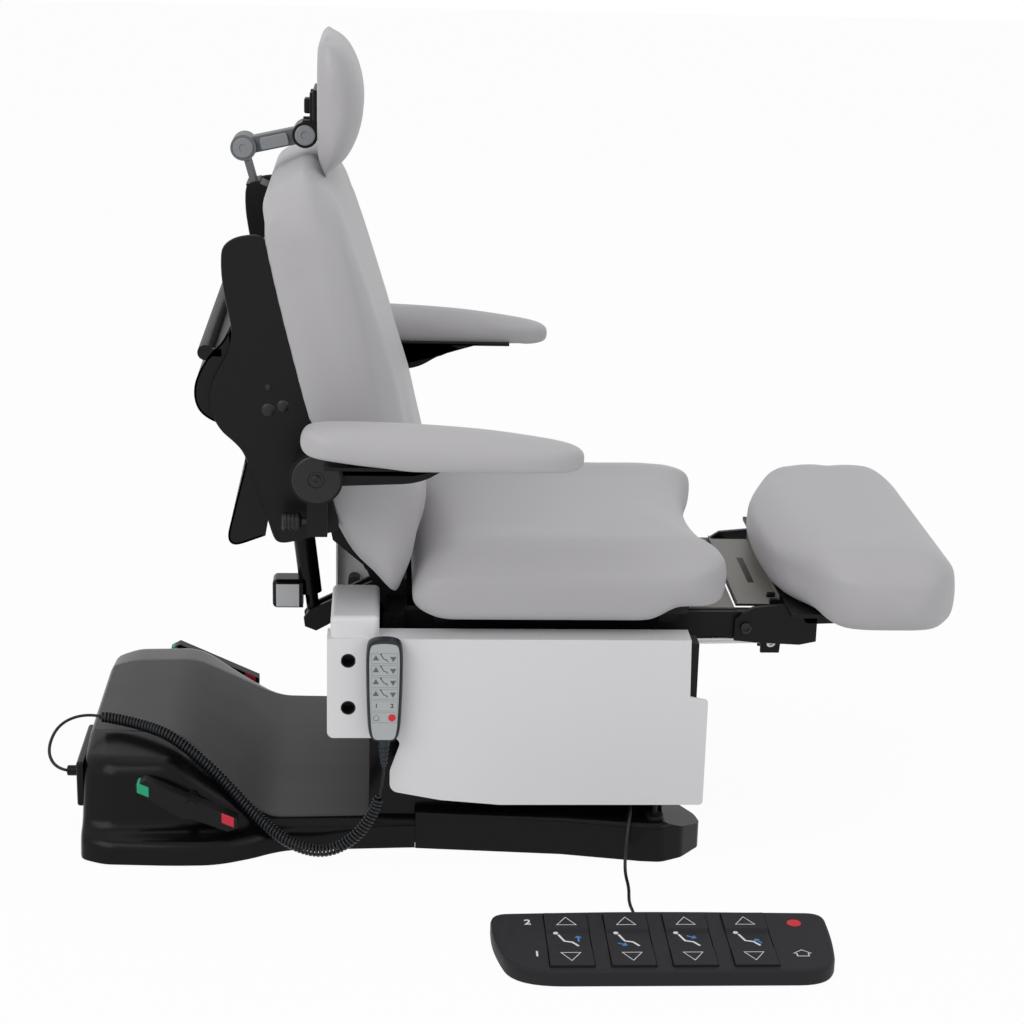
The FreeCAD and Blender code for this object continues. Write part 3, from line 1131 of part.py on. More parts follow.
def make_back():
    for side, tag in ((-1, "right"), (1, "left")):
        outline = shares_outline(SIDE_SHARES, S.side_rear, S.side_front, S.side_bottom, S.side_top)
        bends = {i: S.side_bend for i in (0, 1, 2, 3, 4, 6)}
        node_body = slab("side_plate_" + tag, "xz", outline, mirrored(side, S.side_half - S.side_thick,
                                                                      S.side_half), bends)
        node(node_body)
    inside = S.side_half - S.side_thick
    behind = -S.slip
    parts = [back_bar("back_pan", (S.back_pan_low, S.back_pan_high), (behind - S.pan_sheet, behind),
                      (-S.back_pan_half, S.back_pan_half))]
    deep = (behind - S.pan_sheet - S.beam_size, behind - S.pan_sheet)
    for along, end in ((S.low_beam, "low"), (S.high_beam, "high")):
        parts.append(back_bar("back_beam_" + end, (along, along + S.beam_size), deep, (-inside, inside)))
    x, z, r = S.back_drive_top_x, S.back_drive_top_z, S.yoke_radius
    gap = S.eye_half + S.yoke_gap
    near = [back_point(S.high_beam, behind - S.pan_sheet),
            back_point(S.high_beam + S.beam_size, behind - S.pan_sheet)]
    plate = [near[0], near[1], (x + r * 0.2, z + r), (x - r * 0.8, z + r * 0.8), (x - r, z),
             (x - r * 0.6, z - r * 0.8)]
    parts += yoke("back_clevis", 0 * gap, gap, plate)
    bores = []
    for side, tag in ((-1, "right"), (1, "left")):
        span = mirrored(side, S.lug_inner, S.lug_inner + S.lug_plate)
        reach = S.ear_radius
        bar_low = behind - S.pan_sheet - S.beam_size
        outline = [back_point(S.lug_foot - reach * 0.4, S.lug_out - reach * 0.7),
                   back_point(S.lug_foot + reach * 0.4, S.lug_out + reach * 0.7),
                   back_point(S.lug_bend + reach * 0.4, S.lug_out - S.beam_size),
                   back_point(S.low_beam + S.beam_size, behind - S.pan_sheet),
                   back_point(S.low_beam + S.beam_size, bar_low),
                   back_point(S.lug_bend - reach * 0.6, bar_low)]
        parts.append(slab("back_lug_" + tag, "xz", outline, span))
        parts.append(cross_pin("lug_end_" + tag, S.ear_radius, S.back_x, S.back_z, *span))
        bores.append(cross_pin("back_lug_bore_" + tag, S.pin_radius + S.fit, S.back_x, S.back_z,
                               (S.lug_inner - S.cut_over) * side,
                               (S.lug_inner + S.lug_plate + S.cut_over) * side))
    half = S.post_half + S.slip + S.socket_wall
    wall = S.post_thick * MID + S.slip + S.socket_wall
    socket = [post_point(S.socket_low, -wall), post_point(S.socket_high, -wall),
              post_point(S.socket_high, wall), post_point(S.socket_low, wall)]
    parts.append(slab("head_socket", "xz", socket, (-half, half)))
    parts.append(slab("socket_foot", "xz", [post_point(S.socket_low, wall * MID), post_point(S.socket_high,
                                                                                             wall * MID),
                                            back_point(S.back_pan_high - S.beam_size, behind),
                                            back_point(S.back_pan_high - S.beam_size * 4, behind)],
                      (-half, half)))
    slim = S.post_thick * MID + S.slip
    bores.append(slab("socket_slot", "xz", [post_point(S.socket_low - S.cut_over, -slim),
                                            post_point(S.socket_high + S.cut_over, -slim),
                                            post_point(S.socket_high + S.cut_over, slim),
                                            post_point(S.socket_low - S.cut_over, slim)],
                      (-S.post_half - S.slip, S.post_half + S.slip)))
    node(cut("back_frame", fuse("back_weldment", parts), bores))
    outline = strip(shares_outline(COVER_SHARES, S.cover_rear, S.cover_front, S.cover_low, S.cover_high),
                    S.cover_sheet)
    sheet_cover = slab("cover_bent", "xz", outline, (S.slip - inside, inside - S.slip))
    slot = box("cover_slot", (S.cover_rear, S.cover_front + S.cover_slot), (-S.cover_slot, S.cover_slot),
               (S.cover_low - S.cover_slot, S.cover_low + (S.cover_high - S.cover_low) * COVER_SLOT_SHARE))
    node(cut("back_rear_cover", sheet_cover, [slot]))
    bar = cross_pin("roll_tube", S.roll_radius, S.roll_x, S.roll_z, S.slip - inside, inside - S.slip)
    ends = [bar]
    for side, tag in ((-1, "right"), (1, "left")):
        ends.append(box("roll_bracket_" + tag, (S.roll_x, S.roll_x + S.roll_reach),
                        mirrored(side, inside - S.slip - S.side_thick, inside - S.slip),
                        (S.roll_z - S.roll_radius * MID, S.roll_z + S.roll_radius * MID)))
    node(fuse("roll_bar", ends))
    make_back_cushion()


COVER_SLOT_SHARE = 0.33

# Layers of the back cushion from its rear plane forwards: shares of its depth, of its height for
# the bottom and the top, of its half width, and of its corner radius.
BACK_SHARES = (
    (0.000, 0.148, 0.905, 0.963, 0.80), (0.095, 0.066, 0.945, 0.985, 0.90),
    (0.333, -0.003, 0.963, 1.000, 1.00),
    (0.400, -0.017, 0.960, 1.000, 1.00), (0.675, 0.047, 0.885, 0.938, 1.00),
    (0.873, 0.106, 0.600, 0.735, 1.00), (1.000, 0.190, 0.400, 0.404, 0.80),
)


def make_back_cushion():
    layers = []
    for out, low, high, half, corner in BACK_SHARES:
        depth = S.cushion_depth * out

        def place(a, b, depth=depth):
            x, z = back_point(a, depth)
            return point(x, b, z)

        layers.append(cushion_wire(place, (S.cushion_top * low, S.cushion_top * high),
                                   S.cushion_half * half, S.cushion_corner * corner, (0, 0)))
    node(feature("back_cushion", Part.makeLoft(layers, True, True)))


POST_RUN = math.hypot(float(S.knuckle_x - S.post_x), float(S.knuckle_z - S.post_z))
POST_UP = (float(S.knuckle_x - S.post_x) / POST_RUN, float(S.knuckle_z - S.post_z) / POST_RUN)
POST_OUT = (POST_UP[1], -POST_UP[0])


def post_point(along, out):
    """A place on the headrest post: along it from the knuckle, and out of its middle plane."""
    return (S.knuckle_x + along * POST_UP[0] + out * POST_OUT[0],
            S.knuckle_z + along * POST_UP[1] + out * POST_OUT[1])


def make_headrest():
    slim = S.post_thick * MID
    strap = [post_point(-S.post_tail, -slim), post_point(0, -slim), post_point(0, slim),
             post_point(-S.post_tail, slim)]
    post = [slab("post_strap", "xz", strap, (-S.post_half, S.post_half))]
    ear_low = S.link_half + S.yoke_gap
    bores = [cross_pin("knuckle_room", S.knuckle_radius + S.yoke_gap, S.knuckle_x, S.knuckle_z, -ear_low,
                       ear_low)]
    mount = [box("mount_plate", (S.head_back - S.stem_plate, S.head_back - S.slip),
                 (-S.post_half * 2, S.post_half * 2),
                 (S.wrist_z + S.knuckle_radius + S.slip * 8, S.wrist_z + S.knuckle_radius * 3.6))]
    mount_bores = []
    for side, tag in ((-1, "right"), (1, "left")):
        ear = mirrored(side, ear_low, S.knuckle_half)
        post.append(cross_pin("knuckle_ear_" + tag, S.knuckle_radius, S.knuckle_x, S.knuckle_z, *ear))
        mount.append(cross_pin("wrist_ear_" + tag, S.knuckle_radius, S.wrist_x, S.wrist_z, *ear))
        mount.append(box("wrist_arm_" + tag, (S.wrist_x - S.stem_plate * MID, S.head_back - S.slip), ear,
                         (S.wrist_z, S.wrist_z + S.knuckle_radius * 3.3)))
    bores.append(cross_pin("knuckle_bore", S.pivot_radius + S.fit, S.knuckle_x, S.knuckle_z,
                           -S.knuckle_half * 2, S.knuckle_half * 2))
    mount_bores.append(cross_pin("wrist_bore", S.pivot_radius + S.fit, S.wrist_x, S.wrist_z,
                                 -S.knuckle_half * 2, S.knuckle_half * 2))
    node(cut("head_post", fuse("post_weldment", post), bores))
    node(cut("head_mount", fuse("mount_weldment", mount), mount_bores))
    run_x, run_z = S.wrist_x - S.knuckle_x, S.wrist_z - S.knuckle_z
    run = math.hypot(float(run_x), float(run_z))
    off_x, off_z = -float(run_z) / run, float(run_x) / run
    half = S.link_thick * MID
    bar = [(S.knuckle_x + half * off_x, S.knuckle_z + half * off_z),
           (S.knuckle_x - half * off_x, S.knuckle_z - half * off_z),
           (S.wrist_x - half * off_x, S.wrist_z - half * off_z),
           (S.wrist_x + half * off_x, S.wrist_z + half * off_z)]
    link = [slab("link_bar", "xz", bar, (-S.link_half, S.link_half))]
    for x, z, end in ((S.knuckle_x, S.knuckle_z, "knuckle"), (S.wrist_x, S.wrist_z, "wrist")):
        link.append(cross_pin("link_end_" + end, S.knuckle_radius, x, z, -S.link_half, S.link_half))
        link.append(cross_pin("link_pin_" + end, S.pivot_radius, x, z, -S.knuckle_half, S.knuckle_half))
    node(fuse("head_link", link))
    layers = []
    for out, low, high, half_share, corner in HEAD_SHARES:
        x = float(S.head_back + S.head_depth * out)

        def place(a, b, x=x):
            return Vector(x, b, a)

        height = S.head_top - S.head_bottom
        layers.append(cushion_wire(place, (S.head_bottom + height * low, S.head_bottom + height * high),
                                   S.head_half * half_share,
                                   S.head_half * corner, (0, 0)))
    node(feature("head_cushion", Part.makeLoft(layers, True, True)))


# Layers of the headrest pad from its back forwards: shares of its depth, of its height for the
# bottom and the top, of its half width, and of its half width for the corner radius.
HEAD_SHARES = (
    (0.00, 0.180, 0.930, 0.860, 0.36), (0.16, 0.115, 0.985, 0.960, 0.40), (0.42, 0.020, 1.000, 1.000, 0.42),
    (0.72, 0.090, 0.910, 0.900, 0.42), (0.92, 0.230, 0.740, 0.700, 0.34), (1.00, 0.340, 0.600, 0.480, 0.20),
)

STRUT_SHARES = ((0.00, -0.62), (0.12, 0.02), (0.62, 0.02), (0.86, 0.42), (1.00, 0.86), (0.94, 1.00),
                (0.00, 1.00), (-0.12, 0.40))


def make_arm(side, tag):
    inner, outer = S.mount_out + S.yoke_gap, S.hub_out
    parts = [cross_pin("arm_hub_" + tag, S.hub_radius, S.hub_x, S.hub_z, inner * side, outer * side)]
    strut = shares_outline(STRUT_SHARES, S.hub_x, S.strut_front, S.strut_low, S.arm_low - S.tray_thick)
    parts.append(slab("arm_strut_" + tag, "xz", strut,
                      mirrored(side, S.strut_inner, S.strut_inner + S.strut_thick)))
    tray_x = (S.arm_rear + S.tray_half, S.arm_front - S.tray_half * 2)
    parts.append(box("arm_tray_" + tag, tray_x, mirrored(side, S.strut_inner, S.arm_y + S.tray_half),
                     (S.arm_low - S.tray_thick, S.arm_low - S.slip)))
    bore = cross_pin("arm_bore_" + tag, S.spigot_radius + S.fit, S.hub_x, S.hub_z,
                     (inner - S.cut_over) * side, (outer + S.cut_over) * side)
    node(cut("arm_bracket_" + tag, fuse("arm_weldment_" + tag, parts), [bore]))
    layers = []
    height = S.arm_high - S.arm_low
    for rise, draw, corner in PAD_SHARES:
        level = float(S.arm_low + height * rise)
        inset = height * (draw * ARM_DRAW_SHARE)

        def place(a, b, level=level):
            return Vector(a, b + float(S.arm_y) * side, level)

        layers.append(cushion_wire(place, (S.arm_rear + inset, S.arm_front - inset), S.arm_half - inset,
                                   height * corner, (0, 0)))
    node(feature("arm_pad_" + tag, Part.makeLoft(layers, True, True)))


ARM_DRAW_SHARE = 0.8


def make_arm_mounts():
    mounts = []
    for side, tag in ((-1, "right"), (1, "left")):
        low, high = S.side_half + S.slip, S.mount_out
        boss_x = (S.hub_x - S.boss_width * MID, S.hub_x + S.boss_width * MID)
        boss_y = mirrored(side, high - S.boss_width, high)
        parts = [cross_pin("mount_drum_" + tag, S.mount_radius, S.hub_x, S.hub_z, low * side, high * side),
                 cross_pin("mount_spigot_" + tag, S.spigot_radius, S.hub_x, S.hub_z, low * side,
                           (S.hub_out + S.slip) * side),
                 box("plunger_boss_" + tag, boss_x, boss_y, (S.boss_low, S.hub_z))]
        y = (boss_y[0] + boss_y[1]) * MID
        bore = cylinder("plunger_bore_" + tag, "x", S.plunger_radius + S.fit,
                        (boss_x[0] - S.cut_over, y, S.plunger_z),
                        S.boss_width + 2 * S.cut_over)
        mounts.append(cut("arm_mount_" + tag, fuse("mount_weldment_" + tag, parts), [bore]))
        shank = cylinder("plunger_shank_" + tag, "x", S.plunger_radius, (S.knob_rear, y, S.plunger_z),
                         boss_x[1] - S.knob_rear)
        knob = cylinder("plunger_knob_" + tag, "x", S.plunger_knob, (S.knob_rear, y, S.plunger_z),
                        S.knob_thick)
        node(fuse("plunger_" + tag, [shank, knob]))
    node(group("arm_mounts", mounts))


def rounded_run(spots):
    """A cord's middle line: straight runs joined by tangent arcs, as a list of edges."""
    edges = []
    start = spots[0]
    radii = []
    for i in range(1, len(spots) - 1):
        back, ahead = spots[i - 1] - spots[i], spots[i + 1] - spots[i]
        setback = LONG_RUN_SHARE * min(back.Length, ahead.Length)
        back.normalize()
        ahead.normalize()
        turn = math.pi - back.getAngle(ahead)
        first, last = spots[i] + back * setback, spots[i] + ahead * setback
        bisector = back + ahead
        bisector.normalize()
        radius = setback / math.tan(turn * MID)
        depth = radius / math.cos(turn * MID) - radius
        radii.append(radius)
        edges.append(Part.LineSegment(start, first).toShape())
        edges.append(Part.Arc(first, spots[i] + bisector * depth, last).toShape())
        start = last
    edges.append(Part.LineSegment(start, spots[-1]).toShape())
    return edges, radii


def tube_along(edges, radius):
    """One unbroken faceted tube of a cord's radius along joined edges."""
    first = edges[0]
    way = first.tangentAt(first.FirstParameter)
    side = way.cross(Vector(0, 0, 1))
    side.normalize()
    up = side.cross(way)
    start = first.valueAt(first.FirstParameter)
    ring = []
    for i in range(CORD_SIDES):
        angle = 2 * math.pi * (i + MID) / CORD_SIDES
        ring.append(start + (side * math.cos(angle) + up * math.sin(angle)) * float(radius))
    return Part.Wire(edges).makePipeShell([polygon(ring)], True, False)


def foot_cord_spots():
    gland = -S.skirt_half - S.gland_length
    dock = S.control_y + S.control_depth * MID
    rows = ((S.gland_x, gland, S.gland_z), (S.gland_x, gland - S.cord_step, S.gland_z + S.foot_cord_radius),
            (S.gland_x - S.cord_shift, gland - S.cord_step * 2.1, S.gland_z - S.foot_cord_radius),
            (S.gland_x - S.cord_shift * 2, gland - S.cord_step * 2.7, S.gland_z - S.cord_step),
            (S.gland_x - S.cord_shift * 2.4, gland - S.cord_step * 3, S.gland_z - S.cord_step * 2),
            (S.gland_x - S.cord_shift * 2.6, gland - S.cord_step * 3.6, S.foot_cord_radius * 2.6),
            (S.gland_x - S.cord_shift * 2.2, gland - S.cord_step * 5.0, S.foot_cord_radius * 1.3),
            (S.gland_x - S.cord_shift * 3.2, gland - S.cord_step * 6.6, S.foot_cord_radius * 1.3),
            (S.gland_x - S.cord_shift * 2.6, dock + S.cord_step * 0.9, S.foot_cord_radius * 2.2),
            (S.gland_x - S.cord_shift * 2.6, dock, S.control_height * MID))
    return [point(*row) for row in rows]


# The handset cord's middle line from the plug to the handset: places along the housing as shares
# from its rear end to the handset, across as shares of the base's half width, up as shares of the
# hump's height.
HANDSET_CORD_SHARES = (
    (-0.100, -0.632, 0.735), (-0.132, -0.575, 0.880), (-0.105, -0.480, 1.070), (-0.030, -0.430, 1.150),
    (0.066, -0.428, 1.120), (0.188, -0.510, 1.105), (0.299, -0.630, 1.085), (0.453, -0.735, 0.755),
    (0.575, -0.830, 0.400),
    (0.690, -0.930, 0.190), (0.800, -0.985, 0.150), (0.890, -0.990, 0.270), (0.960, -0.975, 0.520),
    (0.995, -0.968, 0.800),
)
COIL_START_SHARE = 0.20
COIL_END_SHARE = 0.94


def handset_cord_spots():
    spots = [point(S.base_rear - S.panel_thick - S.plug_length, S.plug_y, S.plug_z)]
    for along, across, up in HANDSET_CORD_SHARES:
        spots.append(point(S.base_rear + (S.handset_x - S.base_rear) * along, S.base_half * across,
                           S.hump_height * up))
    tip = S.handset_low - S.relief_length - S.slip
    y = -S.shroud_half - S.slip - S.handset_thick * MID
    spots.append(point(S.handset_x, y, tip))
    return spots


def carried_frames(line, count):
    """Places along a wire with a pair of cross directions carried along without twist."""
    spots = line.discretize(Number=count + 1)
    rows = []
    side = None
    for i, spot in enumerate(spots):
        way = spots[min(i + 1, count)] - spots[max(i - 1, 0)]
        way.normalize()
        if side is None:
            side = way.cross(Vector(0, 0, 1))
        side = side - way * side.dot(way)
        side.normalize()
        rows.append((spot, side, way.cross(side)))
    return rows


def curled(rows, along):
    """A place on the curled cord at a share of its length."""
    number = along * (len(rows) - 1)
    low = min(int(number), len(rows) - 2)
    part = number - low
    spot, side, up = [a + (b - a) * part for a, b in zip(rows[low], rows[low + 1])]
    run = (along - COIL_START_SHARE) / (COIL_END_SHARE - COIL_START_SHARE)
    turns = run * COIL_TURNS
    swell = min(1, max(0, turns), max(0, COIL_TURNS - turns))
    swell = swell * swell * (3 - 2 * swell)
    angle = 2 * math.pi * turns
    return spot + (side * math.cos(angle) + up * math.sin(angle)) * (float(S.coil_radius) * swell)


def arc_from(start, way, end):
    """The arc that leaves start along a direction and ends at end."""
    chord = end - start
    flat = Vector(chord)
    flat.normalize()
    lean = way - flat * way.dot(flat)
    if lean.Length < NEARLY_STRAIGHT:
        return Part.LineSegment(start, end).toShape()
    angle = math.atan2(lean.Length, way.dot(flat))
    lean.normalize()
    return Part.Arc(start, start + chord * MID + lean * (chord.Length * MID * math.tan(angle * MID)),
                    end).toShape()


def arc_pair(start, way, end, end_way):
    """Two arcs that join two places along their directions."""
    across = end - start
    spread = 1 - way.dot(end_way)
    both = across.dot(way + end_way)
    if spread < NEARLY_STRAIGHT:
        reach = across.dot(across) / (2 * both)
    else:
        reach = (math.sqrt(both * both + 2 * spread * across.dot(across)) - both) / (2 * spread)
    middle = (start + end + (way - end_way) * reach) * MID
    return [arc_from(start, way, middle), arc_from(end, -end_way, middle)]


NEARLY_STRAIGHT = 1e-6
LEAD_STEPS = 12
FRAME_STEPS = 1200
QUARTERS = 4


def make_handset_cord():
    edges, radii = rounded_run(handset_cord_spots())
    rows = carried_frames(Part.Wire(edges), FRAME_STEPS)
    marks = [COIL_START_SHARE * i / LEAD_STEPS for i in range(LEAD_STEPS)]
    steps = COIL_TURNS * QUARTERS
    marks += [COIL_START_SHARE + (COIL_END_SHARE - COIL_START_SHARE) * i / steps for i in range(steps)]
    marks += [COIL_END_SHARE + (1 - COIL_END_SHARE) * i / QUARTERS for i in range(QUARTERS + 1)]
    nudge = 1 / (FRAME_STEPS * QUARTERS)
    spots = [curled(rows, mark) for mark in marks]
    ways = []
    for mark in marks:
        way = curled(rows, min(mark + nudge, 1)) - curled(rows, max(mark - nudge, 0))
        way.normalize()
        ways.append(way)
    path = []
    for i in range(len(marks) - 1):
        path += arc_pair(spots[i], ways[i], spots[i + 1], ways[i + 1])
    print("handset cord bends", [round(r, 1) for r in radii], "pieces", len(path))
    gaps = []
    for i in range(LEAD_STEPS, len(spots) - QUARTERS):
        gaps.append(min((spots[i] - other).Length for other in spots[i + QUARTERS - 1:i + QUARTERS + 2]))
    print("handset cord least gap between curls", round(min(gaps) - 2 * float(S.coil_wire), 2))
    node(feature("handset_cord", tube_along(path, S.coil_wire)))


def make_foot_cord():
    edges, radii = rounded_run(foot_cord_spots())
    print("foot cord bends", [round(r, 1) for r in radii])
    node(feature("foot_cord", tube_along(edges, S.foot_cord_radius)))


def main():
    make_rear_housing()
    make_base_plate()
    make_leg_covers()
    make_lift_skirt()
    make_lift_column()
    make_electrics()
    make_pedals()
    make_drop_frame()
    for side, tag in ((-1, "right"), (1, "left")):
        make_caster(side, tag)
        make_arm(side, tag)
    make_foot_control()
    make_carriage()
    make_shroud()
    make_handset()
    make_seat_frame()
    make_cushions()
    make_leg_frame()
    make_drives()
    make_back()
    make_headrest()
    make_arm_mounts()
    make_foot_cord()
    make_handset_cord()


def write_parts():
    doc.recompute()
    for item in doc.Objects:
        if "Invalid" in item.State or "Error" in item.State:
            raise RuntimeError("failed object: " + item.Label + " " + str(item.State))
    os.makedirs("parts", exist_ok=True)
    for item in NODES:
        if item.Shape.isNull() or not item.Shape.isValid() or not item.Shape.Solids:
            raise RuntimeError("bad shape: " + item.Label)
    for item in NODES:
        item.Shape.exportStep("parts/" + item.Label + ".step")


main()
write_parts()
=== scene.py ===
"""Dresses a powered examination chair: upholstery, covers, cords, marks, finishes and a studio stage."""

import math

import bmesh
import bpy
from mathutils import Matrix, Vector
from mathutils.bvhtree import BVHTree


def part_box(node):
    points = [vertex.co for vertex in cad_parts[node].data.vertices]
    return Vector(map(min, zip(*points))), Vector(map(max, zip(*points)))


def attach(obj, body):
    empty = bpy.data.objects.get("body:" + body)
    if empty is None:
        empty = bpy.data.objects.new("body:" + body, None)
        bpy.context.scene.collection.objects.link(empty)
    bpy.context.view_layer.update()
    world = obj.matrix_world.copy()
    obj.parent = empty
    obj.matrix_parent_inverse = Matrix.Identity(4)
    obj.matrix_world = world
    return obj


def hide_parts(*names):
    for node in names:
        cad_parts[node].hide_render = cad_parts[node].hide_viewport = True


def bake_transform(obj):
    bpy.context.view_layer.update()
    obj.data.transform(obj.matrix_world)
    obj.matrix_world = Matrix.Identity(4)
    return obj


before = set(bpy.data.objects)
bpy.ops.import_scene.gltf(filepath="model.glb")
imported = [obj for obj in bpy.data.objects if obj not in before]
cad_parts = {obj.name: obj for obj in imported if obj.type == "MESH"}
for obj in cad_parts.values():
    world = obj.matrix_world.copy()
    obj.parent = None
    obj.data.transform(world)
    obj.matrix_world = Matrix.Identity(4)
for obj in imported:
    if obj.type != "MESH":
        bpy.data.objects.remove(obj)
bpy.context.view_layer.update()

bl_info = {
    "name": "Examination Chair Dressing",
    "version": (1, 0, 0),
    "blender": (4, 5, 0),
    "location": "View3D > Sidebar > Exam Chair",
    "description": "Upholstery, covers, cords, marks and finishes for a powered examination chair",
    "category": "Object",
}

MM = 0.001
SIDES = {"right": -1.0, "left": 1.0}
SMOOTH_ANGLE = math.radians(32.0)
MERGE_GAP = 0.02 * MM
ORGANIC_FACES = 20000

# The two cords' routes, in metres, from where each leaves the chair to where it goes back in.
FOOT_LEAD_ROUTE = (
    (0.1800, -0.2440, 0.0800), (0.1800, -0.2720, 0.0825), (0.1750, -0.3028, 0.0775),
    (0.1700, -0.3196, 0.0520), (0.1680, -0.3280, 0.0240), (0.1670, -0.3448, 0.0065),
    (0.1690, -0.3840, 0.00325), (0.1640, -0.4288, 0.00325), (0.1670, -0.4668, 0.0055),
    (0.1670, -0.4920, 0.0120),
)
HANDSET_LEAD_ROUTE = (
    (-0.6720, -0.2000, 0.1080), (-0.6902, -0.1978, 0.1103), (-0.7047, -0.1800, 0.1320),
    (-0.6925, -0.1502, 0.1605), (-0.6586, -0.1346, 0.1725), (-0.6152, -0.1340, 0.1680),
    (-0.5600, -0.1596, 0.1658), (-0.5099, -0.1972, 0.1628), (-0.4402, -0.2301, 0.1133),
    (-0.3851, -0.2598, 0.0600), (-0.3331, -0.2911, 0.0285), (-0.2834, -0.3083, 0.0225),
    (-0.2427, -0.3099, 0.0405), (-0.2111, -0.3052, 0.0780), (-0.1953, -0.3030, 0.1200),
    (-0.1930, -0.3028, 0.1607),
)


def linear(hex_text):
    """The linear colour of an sRGB hex value."""
    channels = [int(hex_text[i:i + 2], 16) / 255 for i in (1, 3, 5)]
    return tuple(c / 12.92 if c <= 0.04045 else ((c + 0.055) / 1.055) ** 2.4 for c in channels) + (1.0,)


def colour(name, description, hex_text):
    """A colour that a user can change."""
    return bpy.props.FloatVectorProperty(
        name=name, description=description, subtype="COLOR", size=4, min=0.0, max=1.0,
        default=linear(hex_text))


def length(name, description, metres):
    """A length that a user can change."""
    return bpy.props.FloatProperty(
        name=name, description=description, default=metres, unit="LENGTH", precision=4)


class ChairColours(bpy.types.PropertyGroup):
    """The colours of the chair's finishes."""

    vinyl: colour("Vinyl", "Upholstery of the pads", "#B7B5B8")
    white: colour("White coat", "Powder coat of the shroud and its rear cover", "#E6E6E8")
    gloss: colour("Gloss black", "Moulded housing and leg covers", "#0B0B0C")
    deck: colour("Charcoal", "Grained deck between the pedals", "#4A4849")
    black: colour("Black coat", "Powder coat of plates, frames and brackets", "#121213")
    nylon: colour("Grey nylon", "Headrest knuckles and link", "#6A6D70")
    handset: colour("Handset shell", "Dark rim of the hand control", "#262C32")
    face: colour("Handset face", "Membrane of the hand control", "#B3B7B8")
    step_on: colour("Raise patch", "Rear patch of each pedal", "#0CA274")
    step_off: colour("Lower patch", "Front patch of each pedal", "#CC2138")


class ChairUpholstery(bpy.types.PropertyGroup):
    """How the pads are stuffed."""

    voxel: length("Voxel", "Mesh size at which a pad's cover is gathered", 0.006)
    swell: length("Swell", "Most that the filling lifts a cover", 0.0028)
    pressure: bpy.props.FloatProperty(
        name="Pressure", description="Push of the filling on the cover", default=4.0)
    frames: bpy.props.IntProperty(
        name="Frames", description="Steps that the cover takes to settle", default=20)
    crease: length("Crease", "Depth of the sewn-down line beside a bolster", 0.005)
    finish: bpy.props.IntProperty(name="Finish", description="Rounds of smoothing after shaping", default=6)


class ChairCords(bpy.types.PropertyGroup):
    """The hand control's curly lead and the foot control's plain one."""

    coil_radius: length("Coil radius", "Centre of the curls from the lead's line", 0.007)
    wire: length("Wire radius", "Half the curly lead's own thickness", 0.0024)
    turns: bpy.props.IntProperty(name="Turns", description="Curls of the hand control's lead", default=100)
    foot_wire: length("Foot lead radius", "Half the foot control lead's thickness", 0.0025)


class ChairStage(bpy.types.PropertyGroup):
    """The camera, the lamps and the floor."""

    eye: bpy.props.FloatVectorProperty(
        name="Eye", description="Where the camera stands", subtype="TRANSLATION",
        default=(-0.192, -3.292, 1.503))
    lens: bpy.props.FloatProperty(name="Lens", description="Focal length", default=77.34, unit="CAMERA")
    yaw: bpy.props.FloatProperty(
        name="Yaw", description="Turn of the view towards the foot end", default=math.radians(3.426),
        unit="ROTATION")
    pitch: bpy.props.FloatProperty(
        name="Pitch", description="Downward tilt of the view", default=math.radians(17.535), unit="ROTATION")
    roll: bpy.props.FloatProperty(
        name="Roll", description="Turn about the line of sight", default=math.radians(1.478), unit="ROTATION")
    floor: colour("Floor", "Pale studio floor", "#EDEDED")
    sky: bpy.props.FloatProperty(name="Sky", description="Even light from all round", default=0.52)
    key: bpy.props.FloatProperty(
        name="Key lamp", description="Large soft lamp on the left", default=56.0, unit="POWER")
    fill: bpy.props.FloatProperty(
        name="Fill lamp", description="Soft lamp on the right", default=16.0, unit="POWER")
    top: bpy.props.FloatProperty(
        name="Top lamp", description="Soft lamp overhead", default=12.0, unit="POWER")


class ChairSettings(bpy.types.PropertyGroup):
    """All that a user would change."""

    colours: bpy.props.PointerProperty(type=ChairColours)
    upholstery: bpy.props.PointerProperty(type=ChairUpholstery)
    cords: bpy.props.PointerProperty(type=ChairCords)
    stage: bpy.props.PointerProperty(type=ChairStage)


def settings():
    """The chair's settings in this scene."""
    return bpy.context.scene.exam_chair


# Modelling helpers.
def pick(*objects):
    """Selects only these objects and makes the first one active."""
    bpy.ops.object.select_all(action="DESELECT")
    for obj in objects:
        obj.select_set(True)
    if objects:
        bpy.context.view_layer.objects.active = objects[0]


def added(name):
    """The object that an operator has just added, under its own name, with its place in its mesh."""
    obj = bpy.context.object
    obj.name = name
    obj.data.name = name
    bpy.ops.object.transform_apply(location=True, rotation=True, scale=True)
    return obj


def applied(obj, kind, **values):
    """The object with a modifier added, set and applied."""
    pick(obj)
    modifier = obj.modifiers.new(kind, kind)
    for key, value in values.items():
        setattr(modifier, key, value)
    bpy.ops.object.modifier_apply(modifier=modifier.name)
    return obj


def rounded(obj, edge, angle=35.0, segments=3):
    """The object with its sharp edges rounded."""
    return applied(obj, "BEVEL", width=edge, segments=segments, limit_method="ANGLE",
                   angle_limit=math.radians(angle), use_clamp_overlap=True, miter_outer="MITER_ARC")


def block(name, low, high, edge):
    """A block between two corners with rounded edges."""
    low, high = Vector(low), Vector(high)
    pick()
    bpy.ops.mesh.primitive_cube_add(size=1.0, location=(low + high) / 2, scale=high - low)
    return rounded(added(name), edge)


